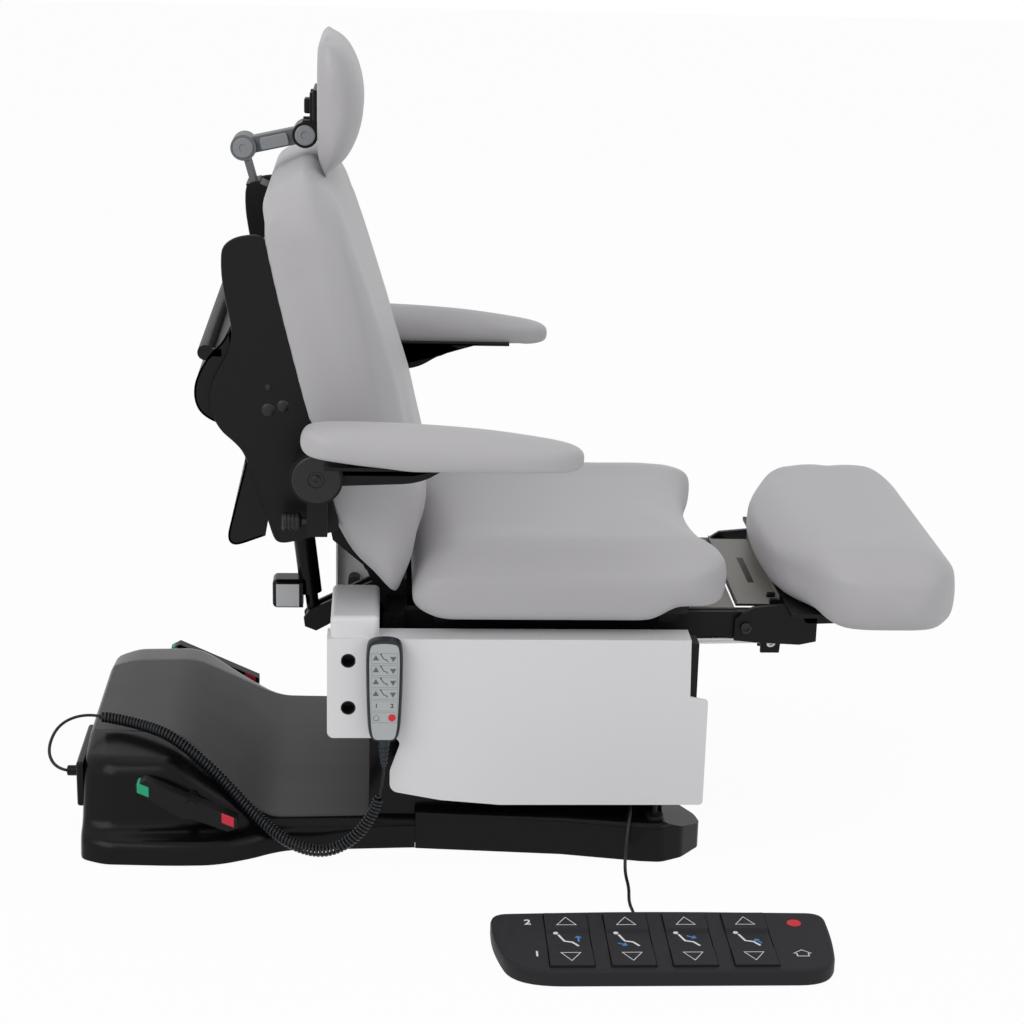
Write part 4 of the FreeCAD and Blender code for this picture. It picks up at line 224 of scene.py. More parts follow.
def turned(name, profile, start, direction, sides=48):
    """A turned piece: its profile is (radius, distance along the axis) pairs from end to end."""
    mesh = bpy.data.meshes.new(name)
    points = [(radius, 0.0, along) for radius, along in profile]
    mesh.from_pydata(points, [(i, i + 1) for i in range(len(points) - 1)], [])
    obj = bpy.data.objects.new(name, mesh)
    bpy.context.scene.collection.objects.link(obj)
    applied(obj, "SCREW", axis="Z", steps=sides, render_steps=sides, use_merge_vertices=True,
            merge_threshold=MERGE_GAP)
    turn = Vector(direction).to_track_quat("Z", "Y").to_matrix().to_4x4()
    obj.matrix_world = Matrix.Translation(start) @ turn
    pick(obj)
    bpy.ops.object.transform_apply(location=True, rotation=True, scale=True)
    return outward(obj)


def outward(obj):
    """The object with its doubles merged and its faces turned outwards."""
    pick(obj)
    bpy.ops.object.mode_set(mode="EDIT")
    bpy.ops.mesh.select_all(action="SELECT")
    bpy.ops.mesh.remove_doubles(threshold=MERGE_GAP)
    bpy.ops.mesh.normals_make_consistent(inside=False)
    bpy.ops.object.mode_set(mode="OBJECT")
    return obj


def lofted(name, rings):
    """A closed skin through rings of as many points each: a grid is laid onto them, sewn up and capped."""
    across = len(rings[0])
    pick()
    bpy.ops.mesh.primitive_grid_add(x_subdivisions=across, y_subdivisions=len(rings) - 1)
    obj = added(name)
    for index, vertex in enumerate(obj.data.vertices):
        row, column = divmod(index, across + 1)
        vertex.co = rings[row][column % across]
    outward(obj)
    sewn = bmesh.new()
    sewn.from_mesh(obj.data)
    bmesh.ops.edgeloop_fill(sewn, edges=[edge for edge in sewn.edges if edge.is_boundary])
    bmesh.ops.recalc_face_normals(sewn, faces=sewn.faces)
    if sewn.calc_volume(signed=True) < 0:
        bmesh.ops.reverse_faces(sewn, faces=sewn.faces)
    sewn.to_mesh(obj.data)
    sewn.free()
    return obj


def eased(corners, radius, steps=5, closed=True):
    """An outline whose corners are rounded, each by as many points; an open one keeps its two ends."""
    ring = []
    for i, corner in enumerate(corners):
        here = Vector(corner)
        if not closed and i in (0, len(corners) - 1):
            ring.append(here)
            continue
        back = Vector(corners[i - 1]) - here
        on = Vector(corners[(i + 1) % len(corners)]) - here
        reach = radius[i] if isinstance(radius, (list, tuple)) else radius
        back *= min(reach, 0.48 * back.length) / back.length
        on *= min(reach, 0.48 * on.length) / on.length
        for step in range(steps + 1):
            share = step / steps
            ring.append(here + back * (1 - share) ** 2 + on * share ** 2)
    return ring


def drawn_in(outline, by):
    """A closed flat outline with every point moved inwards."""
    count = len(outline)
    area = sum(outline[i - 1].cross(outline[i]) for i in range(count))
    turn = by if area > 0 else -by
    moved = []
    for i, spot in enumerate(outline):
        way = (outline[(i + 1) % count] - outline[i - 1]).normalized()
        moved.append(spot + Vector((-way.y, way.x)) * turn)
    return moved


def slab(name, outline, place, low, high, edge):
    """An outline drawn out between two depths, rims rounded; place gives a point for (u, v, depth)."""
    rings = []
    for depth, share in ((low, 1.0), (low + 0.3 * edge, 0.3), (low + edge, 0.0),
                         (high - edge, 0.0), (high - 0.3 * edge, 0.3), (high, 1.0)):
        rings.append([place(u, v, depth) for u, v in drawn_in(outline, edge * share)])
    return lofted(name, rings)


def across_y(u, v, depth):
    """A slab's point where its outline lies along the chair and its depth runs across it."""
    return (u, depth, v)


def upright(u, v, depth):
    """A slab's point where its outline lies flat and its depth runs upwards."""
    return (u, v, depth)


def cut_by(obj, cutter):
    """The object less another one, which is used up."""
    applied(obj, "BOOLEAN", operation="DIFFERENCE", solver="EXACT", object=cutter)
    bpy.data.objects.remove(cutter)
    return obj


def screw_head(name, centre, direction, radius, tall):
    """A socket-head screw: a chamfered head with a round-bottomed socket."""
    profile = [(0.0, -0.5 * tall), (radius, -0.5 * tall), (radius, 0.75 * tall), (0.85 * radius, tall),
               (0.52 * radius, tall), (0.48 * radius, 0.4 * tall), (0.0, 0.35 * tall)]
    return turned(name, profile, centre, direction, 24)


def copied(node, name):
    """A merged copy of a part's solid, to be worked on."""
    obj = bpy.data.objects.new(name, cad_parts[node].data.copy())
    obj.data.name = name
    bpy.context.scene.collection.objects.link(obj)
    pick(obj)
    bpy.ops.mesh.customdata_custom_splitnormals_clear()
    bpy.ops.object.mode_set(mode="EDIT")
    bpy.ops.mesh.select_all(action="SELECT")
    bpy.ops.mesh.remove_doubles(threshold=MERGE_GAP)
    bpy.ops.mesh.dissolve_limited(angle_limit=math.radians(0.4))
    bpy.ops.object.mode_set(mode="OBJECT")
    return obj


def cut_to(obj, point, normal):
    """The part of an object on the normal's side of a plane, closed where it was cut."""
    pick(obj)
    bpy.ops.object.mode_set(mode="EDIT")
    bpy.ops.mesh.select_all(action="SELECT")
    bpy.ops.mesh.bisect(plane_co=point, plane_no=normal, use_fill=True, clear_inner=True)
    bpy.ops.object.mode_set(mode="OBJECT")
    return obj


def swollen(obj, by):
    """The object grown along its normals."""
    for vertex, normal in [(v, v.normal.copy()) for v in obj.data.vertices]:
        vertex.co += normal * by
    return obj


def joined(name, pieces):
    """Several objects made one."""
    pick(*pieces)
    if len(pieces) > 1:
        bpy.ops.object.join()
    pieces[0].name = name
    pieces[0].data.name = name
    return pieces[0]


def fitted(obj, body, material, slot, *nodes):
    """A finished piece with its material, the body that carries it and the nodes that it stands for."""
    obj.data.materials.clear()
    obj.data.materials.append(material)
    pick(obj)
    bpy.ops.object.shade_smooth_by_angle(angle=SMOOTH_ANGLE)
    if len(obj.data.polygons) < ORGANIC_FACES:
        applied(obj, "WEIGHTED_NORMAL", keep_sharp=True)
    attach(obj, body)
    if nodes:
        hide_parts(*nodes)
    return obj


def dressed(material, *nodes):
    """Gives parts that keep their own solids a finish."""
    for node in nodes:
        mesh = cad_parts[node].data
        mesh.materials.clear()
        mesh.materials.append(material)


def softened(node, body, material, slot, edge, angle=35.0):
    """A part's solid with its edges rounded as the real one's are."""
    return fitted(rounded(copied(node, node + "_finish"), edge, angle, 2), body, material, slot, node)


# Printed marks, drawn on a plane whose axes are across and along it.
INK = 0.25 * MM


def plane(origin, across, along):
    """The placing of a plane with its two directions."""
    across, along = Vector(across), Vector(along)
    normal = across.cross(along)
    return Matrix.Translation(origin) @ Matrix((across, along, normal)).transposed().to_4x4()


def stroke(sheet, points, width, closed=False):
    """A printed line through points of a plane."""
    curve = bpy.data.curves.new("stroke", "CURVE")
    curve.dimensions = "3D"
    curve.bevel_depth = width / 2
    curve.bevel_resolution = 1
    curve.use_fill_caps = True
    spline = curve.splines.new("POLY")
    spline.points.add(len(points) - 1)
    spline.use_cyclic_u = closed
    for target, (u, v) in zip(spline.points, points):
        target.co = (u, v, 0.0, 1.0)
    obj = bpy.data.objects.new("stroke", curve)
    bpy.context.scene.collection.objects.link(obj)
    pick(obj)
    bpy.ops.object.convert(target="MESH")
    obj = bpy.context.object
    obj.matrix_world = sheet @ Matrix.Diagonal((1.0, 1.0, 2 * INK / width, 1.0))
    bpy.ops.object.transform_apply(location=True, rotation=True, scale=True)
    return outward(obj)


def patch(sheet, centre, radius, corners, turn=math.pi / 2, edge=0.0):
    """A printed filled shape: a triangle, or a dot where it has many corners."""
    pick()
    bpy.ops.mesh.primitive_circle_add(vertices=corners, radius=radius, fill_type="NGON")
    obj = bpy.context.object
    place = Matrix.Translation((centre[0], centre[1], 0.0)) @ Matrix.Rotation(turn - math.pi / 2, 4, "Z")
    obj.matrix_world = sheet @ place
    bpy.ops.object.transform_apply(location=True, rotation=True, scale=True)
    if edge:
        bpy.ops.object.mode_set(mode="EDIT")
        bpy.ops.mesh.select_all(action="SELECT")
        bpy.ops.mesh.bevel(offset=edge, segments=3, affect="VERTICES")
        bpy.ops.object.mode_set(mode="OBJECT")
    return outward(applied(obj, "SOLIDIFY", thickness=2 * INK, offset=0.0))


def figure(sheet, text, size):
    """A printed numeral."""
    pick()
    bpy.ops.object.text_add()
    obj = bpy.context.object
    obj.data.body = text
    obj.data.size = size
    obj.data.align_x = "CENTER"
    obj.data.align_y = "CENTER"
    obj.data.extrude = INK
    obj.data.offset = 0.02 * size
    bpy.ops.object.convert(target="MESH")
    obj = bpy.context.object
    obj.matrix_world = sheet.copy()
    bpy.ops.object.transform_apply(location=True, rotation=True, scale=True)
    return outward(obj)


def under(node, origin, direction):
    """Where a straight line from origin first meets a part."""
    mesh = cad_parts[node].data
    solid = BVHTree.FromPolygons([v.co for v in mesh.vertices], [p.vertices for p in mesh.polygons])
    place = solid.ray_cast(Vector(origin), Vector(direction))[0]
    if place is None:
        raise RuntimeError(f"nothing of {node} lies along that line")
    return place


# Materials.
def add_node(tree, kind, values=None, inputs=None):
    """Adds a node with its settings; an input is a value or the socket that feeds it."""
    node = tree.nodes.new(kind)
    for key, value in (values or {}).items():
        setattr(node, key, value)
    for key, value in (inputs or {}).items():
        socket = next(s for s in node.inputs if key in (s.identifier, s.name))
        if isinstance(value, bpy.types.NodeSocket):
            tree.links.new(value, socket)
        else:
            socket.default_value = value
    return node


def shade(tone, factor):
    """A tone made darker or lighter."""
    return tuple(min(1.0, c * factor) for c in tone[:3]) + (1.0,)


def skin(name, tone, drift, drift_mm, gloss, grain_mm, grain_height, grain="ShaderNodeTexNoise",
         stretch=(1.0, 1.0, 1.0), **sockets):
    """A surface whose colour and gloss drift over drift_mm and whose relief repeats every grain_mm."""
    material = bpy.data.materials.get(name)
    if material:
        return material
    material = bpy.data.materials.new(name)
    material.use_nodes = True
    material.diffuse_color = tone
    tree = material.node_tree
    tree.nodes.clear()
    place = add_node(tree, "ShaderNodeTexCoord").outputs["Object"]
    place = add_node(tree, "ShaderNodeMapping", inputs={"Vector": place, "Scale": stretch}).outputs["Vector"]
    clouds = add_node(tree, "ShaderNodeTexNoise", inputs={
        "Vector": place, "Scale": 1.0 / (drift_mm * MM), "Detail": 4.0}).outputs["Fac"]
    mixed = add_node(tree, "ShaderNodeMix", {"data_type": "RGBA"}, {
        "Factor_Float": clouds, "A_Color": shade(tone, 1 - drift),
        "B_Color": shade(tone, 1 + drift)}).outputs[2]
    rough = add_node(tree, "ShaderNodeMapRange", inputs={
        "Value": clouds, "To Min": gloss[0], "To Max": gloss[1]}).outputs["Result"]
    relief = add_node(tree, grain, inputs={"Vector": place, "Scale": 1.0 / (grain_mm * MM)}).outputs[0]
    bump = add_node(tree, "ShaderNodeBump", inputs={
        "Strength": 1.0, "Distance": grain_height * MM, "Height": relief}).outputs["Normal"]
    shader = add_node(tree, "ShaderNodeBsdfPrincipled", inputs={
        "Base Color": mixed, "Roughness": rough, "Normal": bump, **sockets})
    add_node(tree, "ShaderNodeOutputMaterial", inputs={"Surface": shader.outputs["BSDF"]})
    return material


def vinyl():
    """Embossed PVC-coated cloth: a soft sheen over pebble grain, drawn coarser than life to show."""
    return skin("embossed_vinyl", settings().colours.vinyl, 0.025, 120, (0.44, 0.54), 2.4, 0.10,
                "ShaderNodeTexVoronoi", **{"Sheen Weight": 0.08, "Specular IOR Level": 0.4})


def white_coat():
    """Powder coat on pressed steel: an even satin with a faint orange peel."""
    return skin("white_powder_coat", settings().colours.white, 0.012, 200, (0.36, 0.44), 3.0, 0.02)


def gloss_abs():
    """Vacuum-formed black ABS: a deep satin gloss with long soft highlights."""
    return skin("black_formed_abs", settings().colours.gloss, 0.06, 90, (0.20, 0.28), 1.6, 0.008,
                **{"Specular IOR Level": 0.15})


def deck_abs():
    """Haircell-grained charcoal ABS: matt, with faint streaks along the chair."""
    return skin("charcoal_grained_abs", settings().colours.deck, 0.05, 40, (0.50, 0.62), 2.0, 0.05,
                stretch=(0.18, 1.0, 1.0),
                **{"Specular IOR Level": 0.25})


def black_coat():
    """Black powder coat on sheet steel: satin, with a fine fleck."""
    return skin("black_powder_coat", settings().colours.black, 0.08, 60, (0.38, 0.48), 1.8, 0.03,
                **{"Specular IOR Level": 0.18})


def zinc():
    """Bright zinc plate on turned steel: clear reflections, slightly hazed."""
    return skin("zinc_plated_steel", linear("#BFC1C3"), 0.05, 25, (0.22, 0.32), 1.5, 0.01, Metallic=1.0)


def anodised():
    """Anodised aluminium extrusion: a silky grey drawn out along its length."""
    return skin("anodised_aluminium", linear("#A9ABAF"), 0.05, 8, (0.32, 0.42), 1.5, 0.01,
                stretch=(1.0, 1.0, 0.05), Metallic=1.0)


def plywood():
    """Birch plywood coloured near black as painted shade under the seat: dull, with its thin plies just
    showing.
    """
    # Painted shade: the near-black colour stands for the shade under the seat, not a stain on the wood.
    return skin("plywood_painted_shade", linear("#1D1A18"), 0.28, 3, (0.60, 0.72), 2.0, 0.06,
                stretch=(0.03, 0.03, 1.0),
                **{"Specular IOR Level": 0.2})


def tyre_rubber():
    """Moulded rubber: dull black with a dry bloom."""
    return skin("moulded_rubber", linear("#18181A"), 0.12, 20, (0.62, 0.76), 1.5, 0.04,
                **{"Specular IOR Level": 0.2})


def keypad_rubber():
    """Soft-touch rubber over the foot control: dark, dull and very finely pitted."""
    return skin("keypad_rubber", linear("#232226"), 0.08, 35, (0.50, 0.62), 1.6, 0.06,
                **{"Specular IOR Level": 0.2})


def nylon():
    """Glass-filled nylon: mid grey, with a cloudy matt skin."""
    return skin("glass_filled_nylon", settings().colours.nylon, 0.06, 18, (0.42, 0.54), 1.5, 0.03)


def disc_nylon():
    """Natural grey nylon of the knuckles' discs and the link's inset: paler, with a soft light."""
    return skin("pale_grey_nylon", linear("#8B8E91"), 0.04, 18, (0.38, 0.48), 1.5, 0.02)


def lead_pvc():
    """Extruded PVC lead: near black with a soft line of light."""
    return skin("extruded_pvc", linear("#15171B"), 0.08, 12, (0.32, 0.42), 1.2, 0.008,
                **{"Specular IOR Level": 0.3})


def knob_nylon():
    """Moulded black nylon of the caps and knobs: dark, with a soft waxy light on its edges."""
    return skin("black_moulded_nylon", linear("#1A1A1C"), 0.06, 20, (0.34, 0.44), 1.2, 0.015,
                **{"Specular IOR Level": 0.35})


def apron_sheet():
    """Painted steel sheet between the seat and the leg rest: warm mid grey."""
    return skin("grey_painted_sheet", linear("#7C7873"), 0.04, 60, (0.44, 0.54), 2.0, 0.02)


def handset_shell():
    """Moulded dark ABS of the hand control: blue-black satin."""
    return skin("dark_moulded_abs", settings().colours.handset, 0.06, 25, (0.34, 0.44), 1.2, 0.02,
                **{"Specular IOR Level": 0.3})


def membrane():
    """Polyester membrane: pale grey with a velvet print finish."""
    return skin("polyester_membrane", settings().colours.face, 0.02, 30, (0.36, 0.44), 1.2, 0.006)


def raise_pad():
    """Green thermoplastic rubber: a flat, saturated patch."""
    return skin("green_moulded_rubber", settings().colours.step_on, 0.06, 15, (0.46, 0.58), 1.5, 0.03)


def lower_pad():
    """Red thermoplastic rubber: a flat, saturated patch."""
    return skin("red_moulded_rubber", settings().colours.step_off, 0.06, 15, (0.46, 0.58), 1.5, 0.03)


def ink(name, hex_text):
    """Screen-printed ink: dense and slightly glossy."""
    return skin(name + "_ink", linear(hex_text), 0.02, 10, (0.38, 0.46), 1.0, 0.004)


def plate_film():
    """Blank polyester film: a clean pale plate."""
    return skin("blank_polyester_film", linear("#CBCCCE"), 0.02, 20, (0.34, 0.42), 1.0, 0.004)


# Padded pieces.
def stuffed(node, name, body, shaping, held, voxel=None, rounds=14, swell=None):
    """A pad made from its solid: a cover in one skin, shaped, blown up by its filling and smoothed."""
    upholstery = settings().upholstery
    obj = copied(node, name)
    obj.data.remesh_voxel_size = voxel or upholstery.voxel
    pick(obj)
    bpy.ops.object.voxel_remesh()
    applied(obj, "SMOOTH", factor=0.5, iterations=rounds)
    shaping(obj)
    applied(obj, "SMOOTH", factor=0.5, iterations=upholstery.finish)
    blown(obj, held, swell or upholstery.swell)
    applied(obj, "SUBSURF", levels=1, render_levels=1)
    fitted(obj, body, vinyl(), "upholstery", node)
    return obj


def blown(obj, held, swell):
    """Blows a cover up by its filling, held where it is fixed to its board."""
    upholstery = settings().upholstery
    scene = bpy.context.scene
    rest = [v.co.copy() for v in obj.data.vertices]
    group = obj.vertex_groups.new(name="fixed")
    group.add([v.index for v in obj.data.vertices if v.normal.dot(held) > 0.6], 1.0, "REPLACE")
    cloth = obj.modifiers.new("filling", "CLOTH")
    cloth.settings.use_pressure = True
    cloth.settings.uniform_pressure_force = upholstery.pressure
    cloth.settings.vertex_group_mass = group.name
    cloth.settings.effector_weights.gravity = 0.0
    for step in range(1, upholstery.frames + 1):
        scene.frame_set(step)
    pick(obj)
    bpy.ops.object.modifier_apply(modifier=cloth.name)
    scene.frame_set(1)
    for vertex, start in zip(obj.data.vertices, rest):
        move = vertex.co - start
        if move.length > swell:
            vertex.co = start + move * (swell / move.length)
    obj.vertex_groups.clear()
    applied(obj, "SMOOTH", factor=0.5, iterations=2 * upholstery.finish)


def stretched(obj, low, high):
    """The object brought back to the box that smoothing has shrunk it from."""
    spots = [vertex.co for vertex in obj.data.vertices]
    for axis in range(3):
        start, end = min(p[axis] for p in spots), max(p[axis] for p in spots)
        scale = (high[axis] - low[axis]) / (end - start)
        for spot in spots:
            spot[axis] = low[axis] + (spot[axis] - start) * scale


DEPTH_ROWS = 36


def depth_rows(obj, low, high):
    """The rearmost and the foremost place of an object's mesh in even rows of height."""
    rear, front = [math.inf] * DEPTH_ROWS, [-math.inf] * DEPTH_ROWS
    for vertex in obj.data.vertices:
        row = min(DEPTH_ROWS - 1, int((vertex.co.z - low) / (high - low) * DEPTH_ROWS))
        rear[row], front[row] = min(rear[row], vertex.co.x), max(front[row], vertex.co.x)
    return rear, front


def ease(value, start, end):
    """A smooth rise from 0 at start to 1 at end."""
    share = min(1.0, max(0.0, (value - start) / (end - start)))
    return share * share * (3 - 2 * share)


def rounded_plan(x, y, corner, reach, half):
    """A point of a square-cornered plan moved so that the corner, reach long and half wide, becomes round."""
    across = min(1.0, max(0.0, (abs(y) - (corner[1] - half)) / half))
    along = min(1.0, max(0.0, abs(x - corner[0] + math.copysign(reach, corner[2])) / reach))
    if (x - corner[0]) * corner[2] < -reach:
        return x, y
    base = corner[0] - math.copysign(reach, corner[2])
    x = base + math.copysign(reach, corner[2]) * along * math.sqrt(1 - across * across / 2)
    y = math.copysign(corner[1] - half + half * across * math.sqrt(1 - along * along / 2), y) if across else y
    return x, y


def valley(value, centre, width):
    """A soft groove: 1 at its centre and 0 beyond its width."""
    return math.exp(-((value - centre) / width) ** 2)


class CHAIR_OT_seat_pad(bpy.types.Operator):
    """Stuffs the seat pad: rolled sides that wrap its board and a hollowed front"""

    bl_idname = "chair.seat_pad"
    bl_label = "Seat pad"

    def execute(self, context):
        low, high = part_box("seat_cushion")
        tall = high.z - low.z
        crease = settings().upholstery.crease

        def shaping(obj):
            for vertex in obj.data.vertices:
                x, y, z = vertex.co
                x, y = rounded_plan(x, y, (high.x, high.y, 1), 0.125, 0.110)
                vertex.co.x, vertex.co.y = x, y
                rise = (z - low.z) / tall
                top = ease(rise, 0.55, 1.0)
                side = ease(abs(y), high.y - 0.085, high.y)
                vertex.co.z -= top * side * 0.016
                vertex.co.z -= top * ease(high.y - abs(y), 0.06, 0.16) * 0.004
                seam = valley(abs(y), high.y - 0.072, 0.012) * ease(x, low.x, low.x + 0.05)
                vertex.co.z -= top * crease * 0.6 * seam
                rim = ease(abs(y), high.y - 0.034, high.y - 0.022)
                middle = ease(x, low.x - 0.02, low.x + 0.06) * (1 - ease(x, high.x - 0.14, high.x - 0.09))
                vertex.co.z -= (1 - ease(rise, 0.0, 0.5)) * rim * (0.017 * middle - 0.006 * (1 - middle))
                belly = 1 - (2 * rise - 0.7) ** 2
                vertex.co.y += math.copysign(0.004 * side * max(0.0, belly), y)

        stuffed("seat_cushion", "seat_pad", "seat", shaping, Vector((0, 0, -1)))
        return {"FINISHED"}


class CHAIR_OT_leg_pad(bpy.types.Operator):
    """Stuffs the leg rest's pad: a plump pillow with well-rounded corners towards the seat"""

    bl_idname = "chair.leg_pad"
    bl_label = "Leg pad"

    def execute(self, context):
        low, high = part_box("leg_cushion")
        tall = high.z - low.z

        def shaping(obj):
            for vertex in obj.data.vertices:
                x, y, z = vertex.co
                x, y = rounded_plan(x, y, (low.x, high.y, -1), 0.150, 0.190)
                x, y = rounded_plan(x, y, (high.x, high.y, 1), 0.085, 0.110)
                rise = (z - low.z) / tall
                rim = max(ease(abs(y), high.y - 0.07, high.y), ease(x, high.x - 0.06, high.x),
                          1 - ease(x, low.x, low.x + 0.06))
                z -= ease(rise, 0.5, 1.0) * rim * 0.012
                corner = (1 - ease(x, low.x, low.x + 0.11)) * ease(abs(y), high.y - 0.13, high.y)
                z += (1 - ease(rise, 0.0, 0.7)) * 0.022 * corner
                wrap = max(ease(abs(y), 0.235, 0.255), ease(x, high.x - 0.034, high.x - 0.020))
                z -= (1 - ease(rise, 0.0, 0.5)) * wrap * 0.015 * (1 - corner)
                vertex.co = (x, y, z)

        stuffed("leg_cushion", "leg_pad", "legrest", shaping, Vector((0, 0, -1)))
        return {"FINISHED"}


RIM_HALF = 0.2730
BOARD_FOOT, BOARD_DRAW = 0.140, 0.004


class CHAIR_OT_back_pad(bpy.types.Operator):
    """Stuffs the back pad, with its side wings, and sets its board behind it"""

    bl_idname = "chair.back_pad"
    bl_label = "Back pad"

    def execute(self, context):
        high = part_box("back_cushion")[1]
        out = Vector((0.97793, 0.0, 0.20898))
        up = Vector((-0.20898, 0.0, 0.97793))
        foot = Vector((-0.22836, 0.0, 0.41101))

        def shaping(obj):
            for vertex in obj.data.vertices:
                depth = (vertex.co - foot).dot(out)
                along = (vertex.co - foot).dot(up)
                front = ease(depth, 0.05, 0.09)
                inside = ease(high.y - abs(vertex.co.y), 0.04, 0.13)
                vertex.co -= out * front * inside * 0.006 * ease(along, 0.05, 0.2)
                rear = 1 - ease(depth, 0.0, 0.032)
                vertex.co.y *= 1 + 0.032 * rear
                rim = max(ease(abs(vertex.co.y), 0.205, 0.245), ease(along, 0.53, 0.58))
                vertex.co -= out * rear * (0.003 + rim * (0.010 + 0.010 * ease(along, 0.1, 0.5)))
                shoulder = ease(abs(vertex.co.y), 0.17, 0.22) * ease(along, 0.50, 0.57)
                shoulder *= 1 - ease(depth, 0.02, 0.05)
                vertex.co.y += math.copysign(0.009 * shoulder, vertex.co.y)
                cover = ease(rear, 0.3, 0.8) * ease(abs(vertex.co.y), 0.24, 0.26) * ease(along, 0.24, 0.30)
                outer = max(abs(vertex.co.y), RIM_HALF) - abs(vertex.co.y)
                vertex.co.y += math.copysign(outer * cover, vertex.co.y)
                wing = ease(abs(vertex.co.y), 0.17, 0.24) * (1 - ease(along, 0.02, 0.17))
                vertex.co -= up * 0.026 * wing * ease(depth, 0.0, 0.05)

        stuffed("back_cushion", "back_pad", "back", shaping, -out)
        board = copied("back_cushion", "back_board")
        cut_to(board, foot + out * 0.012, -out)
        cut_to(board, foot + up * BOARD_FOOT, up)
        for vertex in board.data.vertices:
            depth = (vertex.co - foot).dot(out)
            vertex.co -= out * (depth * 0.5 + 0.003)
        swollen(board, -BOARD_DRAW)
        fitted(rounded(board, 0.001), "back", black_coat(), "black_paint")
        return {"FINISHED"}


class CHAIR_OT_head_pad(bpy.types.Operator):
    """Stuffs the head pad"""

    bl_idname = "chair.head_pad"
    bl_label = "Head pad"

    def execute(self, context):
        low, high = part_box("head_cushion")

        middle, half = (low.z + high.z) / 2, (high.z - low.z) / 2

        def shaping(obj):
            stretched(obj, low, high)
            rear, front = depth_rows(obj, low.z, high.z)
            for vertex in obj.data.vertices:
                level = (vertex.co.z - middle) / half
                row = int((vertex.co.z - low.z) / (2 * half) * DEPTH_ROWS)
                row = min(DEPTH_ROWS - 5, max(4, row))
                depth = (vertex.co.x - rear[row]) / max(front[row] - rear[row], 0.008)
                swell = math.sqrt(max(0.06, 1 - 1.12 * level * level))
                turn = 0.010 * ease(abs(level), 0.80, 1.0)
                vertex.co.x = low.x + turn + depth * ((high.x - low.x) * swell - turn)
                vertex.co.z -= half * 0.5 * max(0.0, level - 0.84)
            applied(obj, "SMOOTH", factor=0.5, iterations=30)

        stuffed("head_cushion", "head_pad", "head", shaping, Vector((-1, 0, 0)), voxel=0.004, rounds=60,
                swell=0.003)
        return {"FINISHED"}


class CHAIR_OT_arm_pads(bpy.types.Operator):
    """Stuffs the two arm pads: round-ended, and thinning towards the hand"""

    bl_idname = "chair.arm_pads"
    bl_label = "Arm pads"

    def execute(self, context):
        for side in SIDES:
            low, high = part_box("arm_pad_" + side)
            middle, half, tall = (low.y + high.y) / 2, (high.y - low.y) / 2, high.z - low.z

            def shaping(obj):
                for vertex in obj.data.vertices:
                    x, y, z = vertex.co
                    x, y = rounded_plan(x, y - middle, (low.x, half, -1), 0.050, half)
                    x, y = rounded_plan(x, y, (high.x, half, 1), 0.095, half)
                    rise = (z - low.z) / tall
                    front = min(1.0, max(0.0, (x - low.x - 0.08) / (high.x - low.x - 0.08)))
                    z += rise * 0.009 * (1 - front)
                    z -= rise * tall * 0.50 * front ** 2.4
                    z -= rise * tall * 0.10 * ease(abs(y), 0.2 * half, half)
                    z += (1 - rise) * 0.012 * (1 - ease(x, low.x, low.x + 0.12))
                    wrap = max(ease(abs(y), 0.68 * half, 0.86 * half), ease(x, high.x - 0.06, high.x - 0.04))
                    z -= (1 - ease(rise, 0.0, 0.6)) * wrap * 0.007 * ease(x, low.x + 0.10, low.x + 0.16)
                    vertex.co = (x, y + middle, z)

            stuffed("arm_pad_" + side, "arm_rest_pad_" + side, "arm_" + side, shaping, Vector((0, 0, -1)),
                    voxel=0.004, rounds=10, swell=0.002)
        return {"FINISHED"}


# Cords.
def route_curve(name, route):
    """A lead's line as one smooth spline through its given control points."""
    curve = bpy.data.curves.new(name, "CURVE")
    curve.dimensions = "3D"
    curve.resolution_u = 12
    spline = curve.splines.new("NURBS")
    spline.points.add(len(route) - 1)
    for target, point in zip(spline.points, route):
        target.co = (*point, 1.0)
    spline.order_u = 3
    spline.use_endpoint_u = True
    obj = bpy.data.objects.new(name, curve)
    bpy.context.scene.collection.objects.link(obj)
    return obj


def route_points(route):
    """Points read along a lead's smooth line."""
    guide = route_curve("guide", route)
    bpy.context.view_layer.update()
    mesh = bpy.data.meshes.new_from_object(guide)
    points = [v.co.copy() for v in mesh.vertices]
    bpy.data.objects.remove(guide)
    bpy.data.meshes.remove(mesh)
    return points


def walk(points):
    """The distance along a line at each of its points."""
    reach = [0.0]
    for a, b in zip(points, points[1:]):
        reach.append(reach[-1] + (b - a).length)
    return reach


def at(points, reach, distance):
    """The place and heading at a distance along a line."""
    i = 0
    while i < len(points) - 2 and reach[i + 1] < distance:
        i += 1
    span = reach[i + 1] - reach[i]
    share = (distance - reach[i]) / span
    return points[i].lerp(points[i + 1], share), (points[i + 1] - points[i]).normalized()


COIL_START_SHARE, COIL_END_SHARE = 0.20, 0.94
STEPS_PER_TURN = 14
PLAIN_STEP = 4.0 * MM


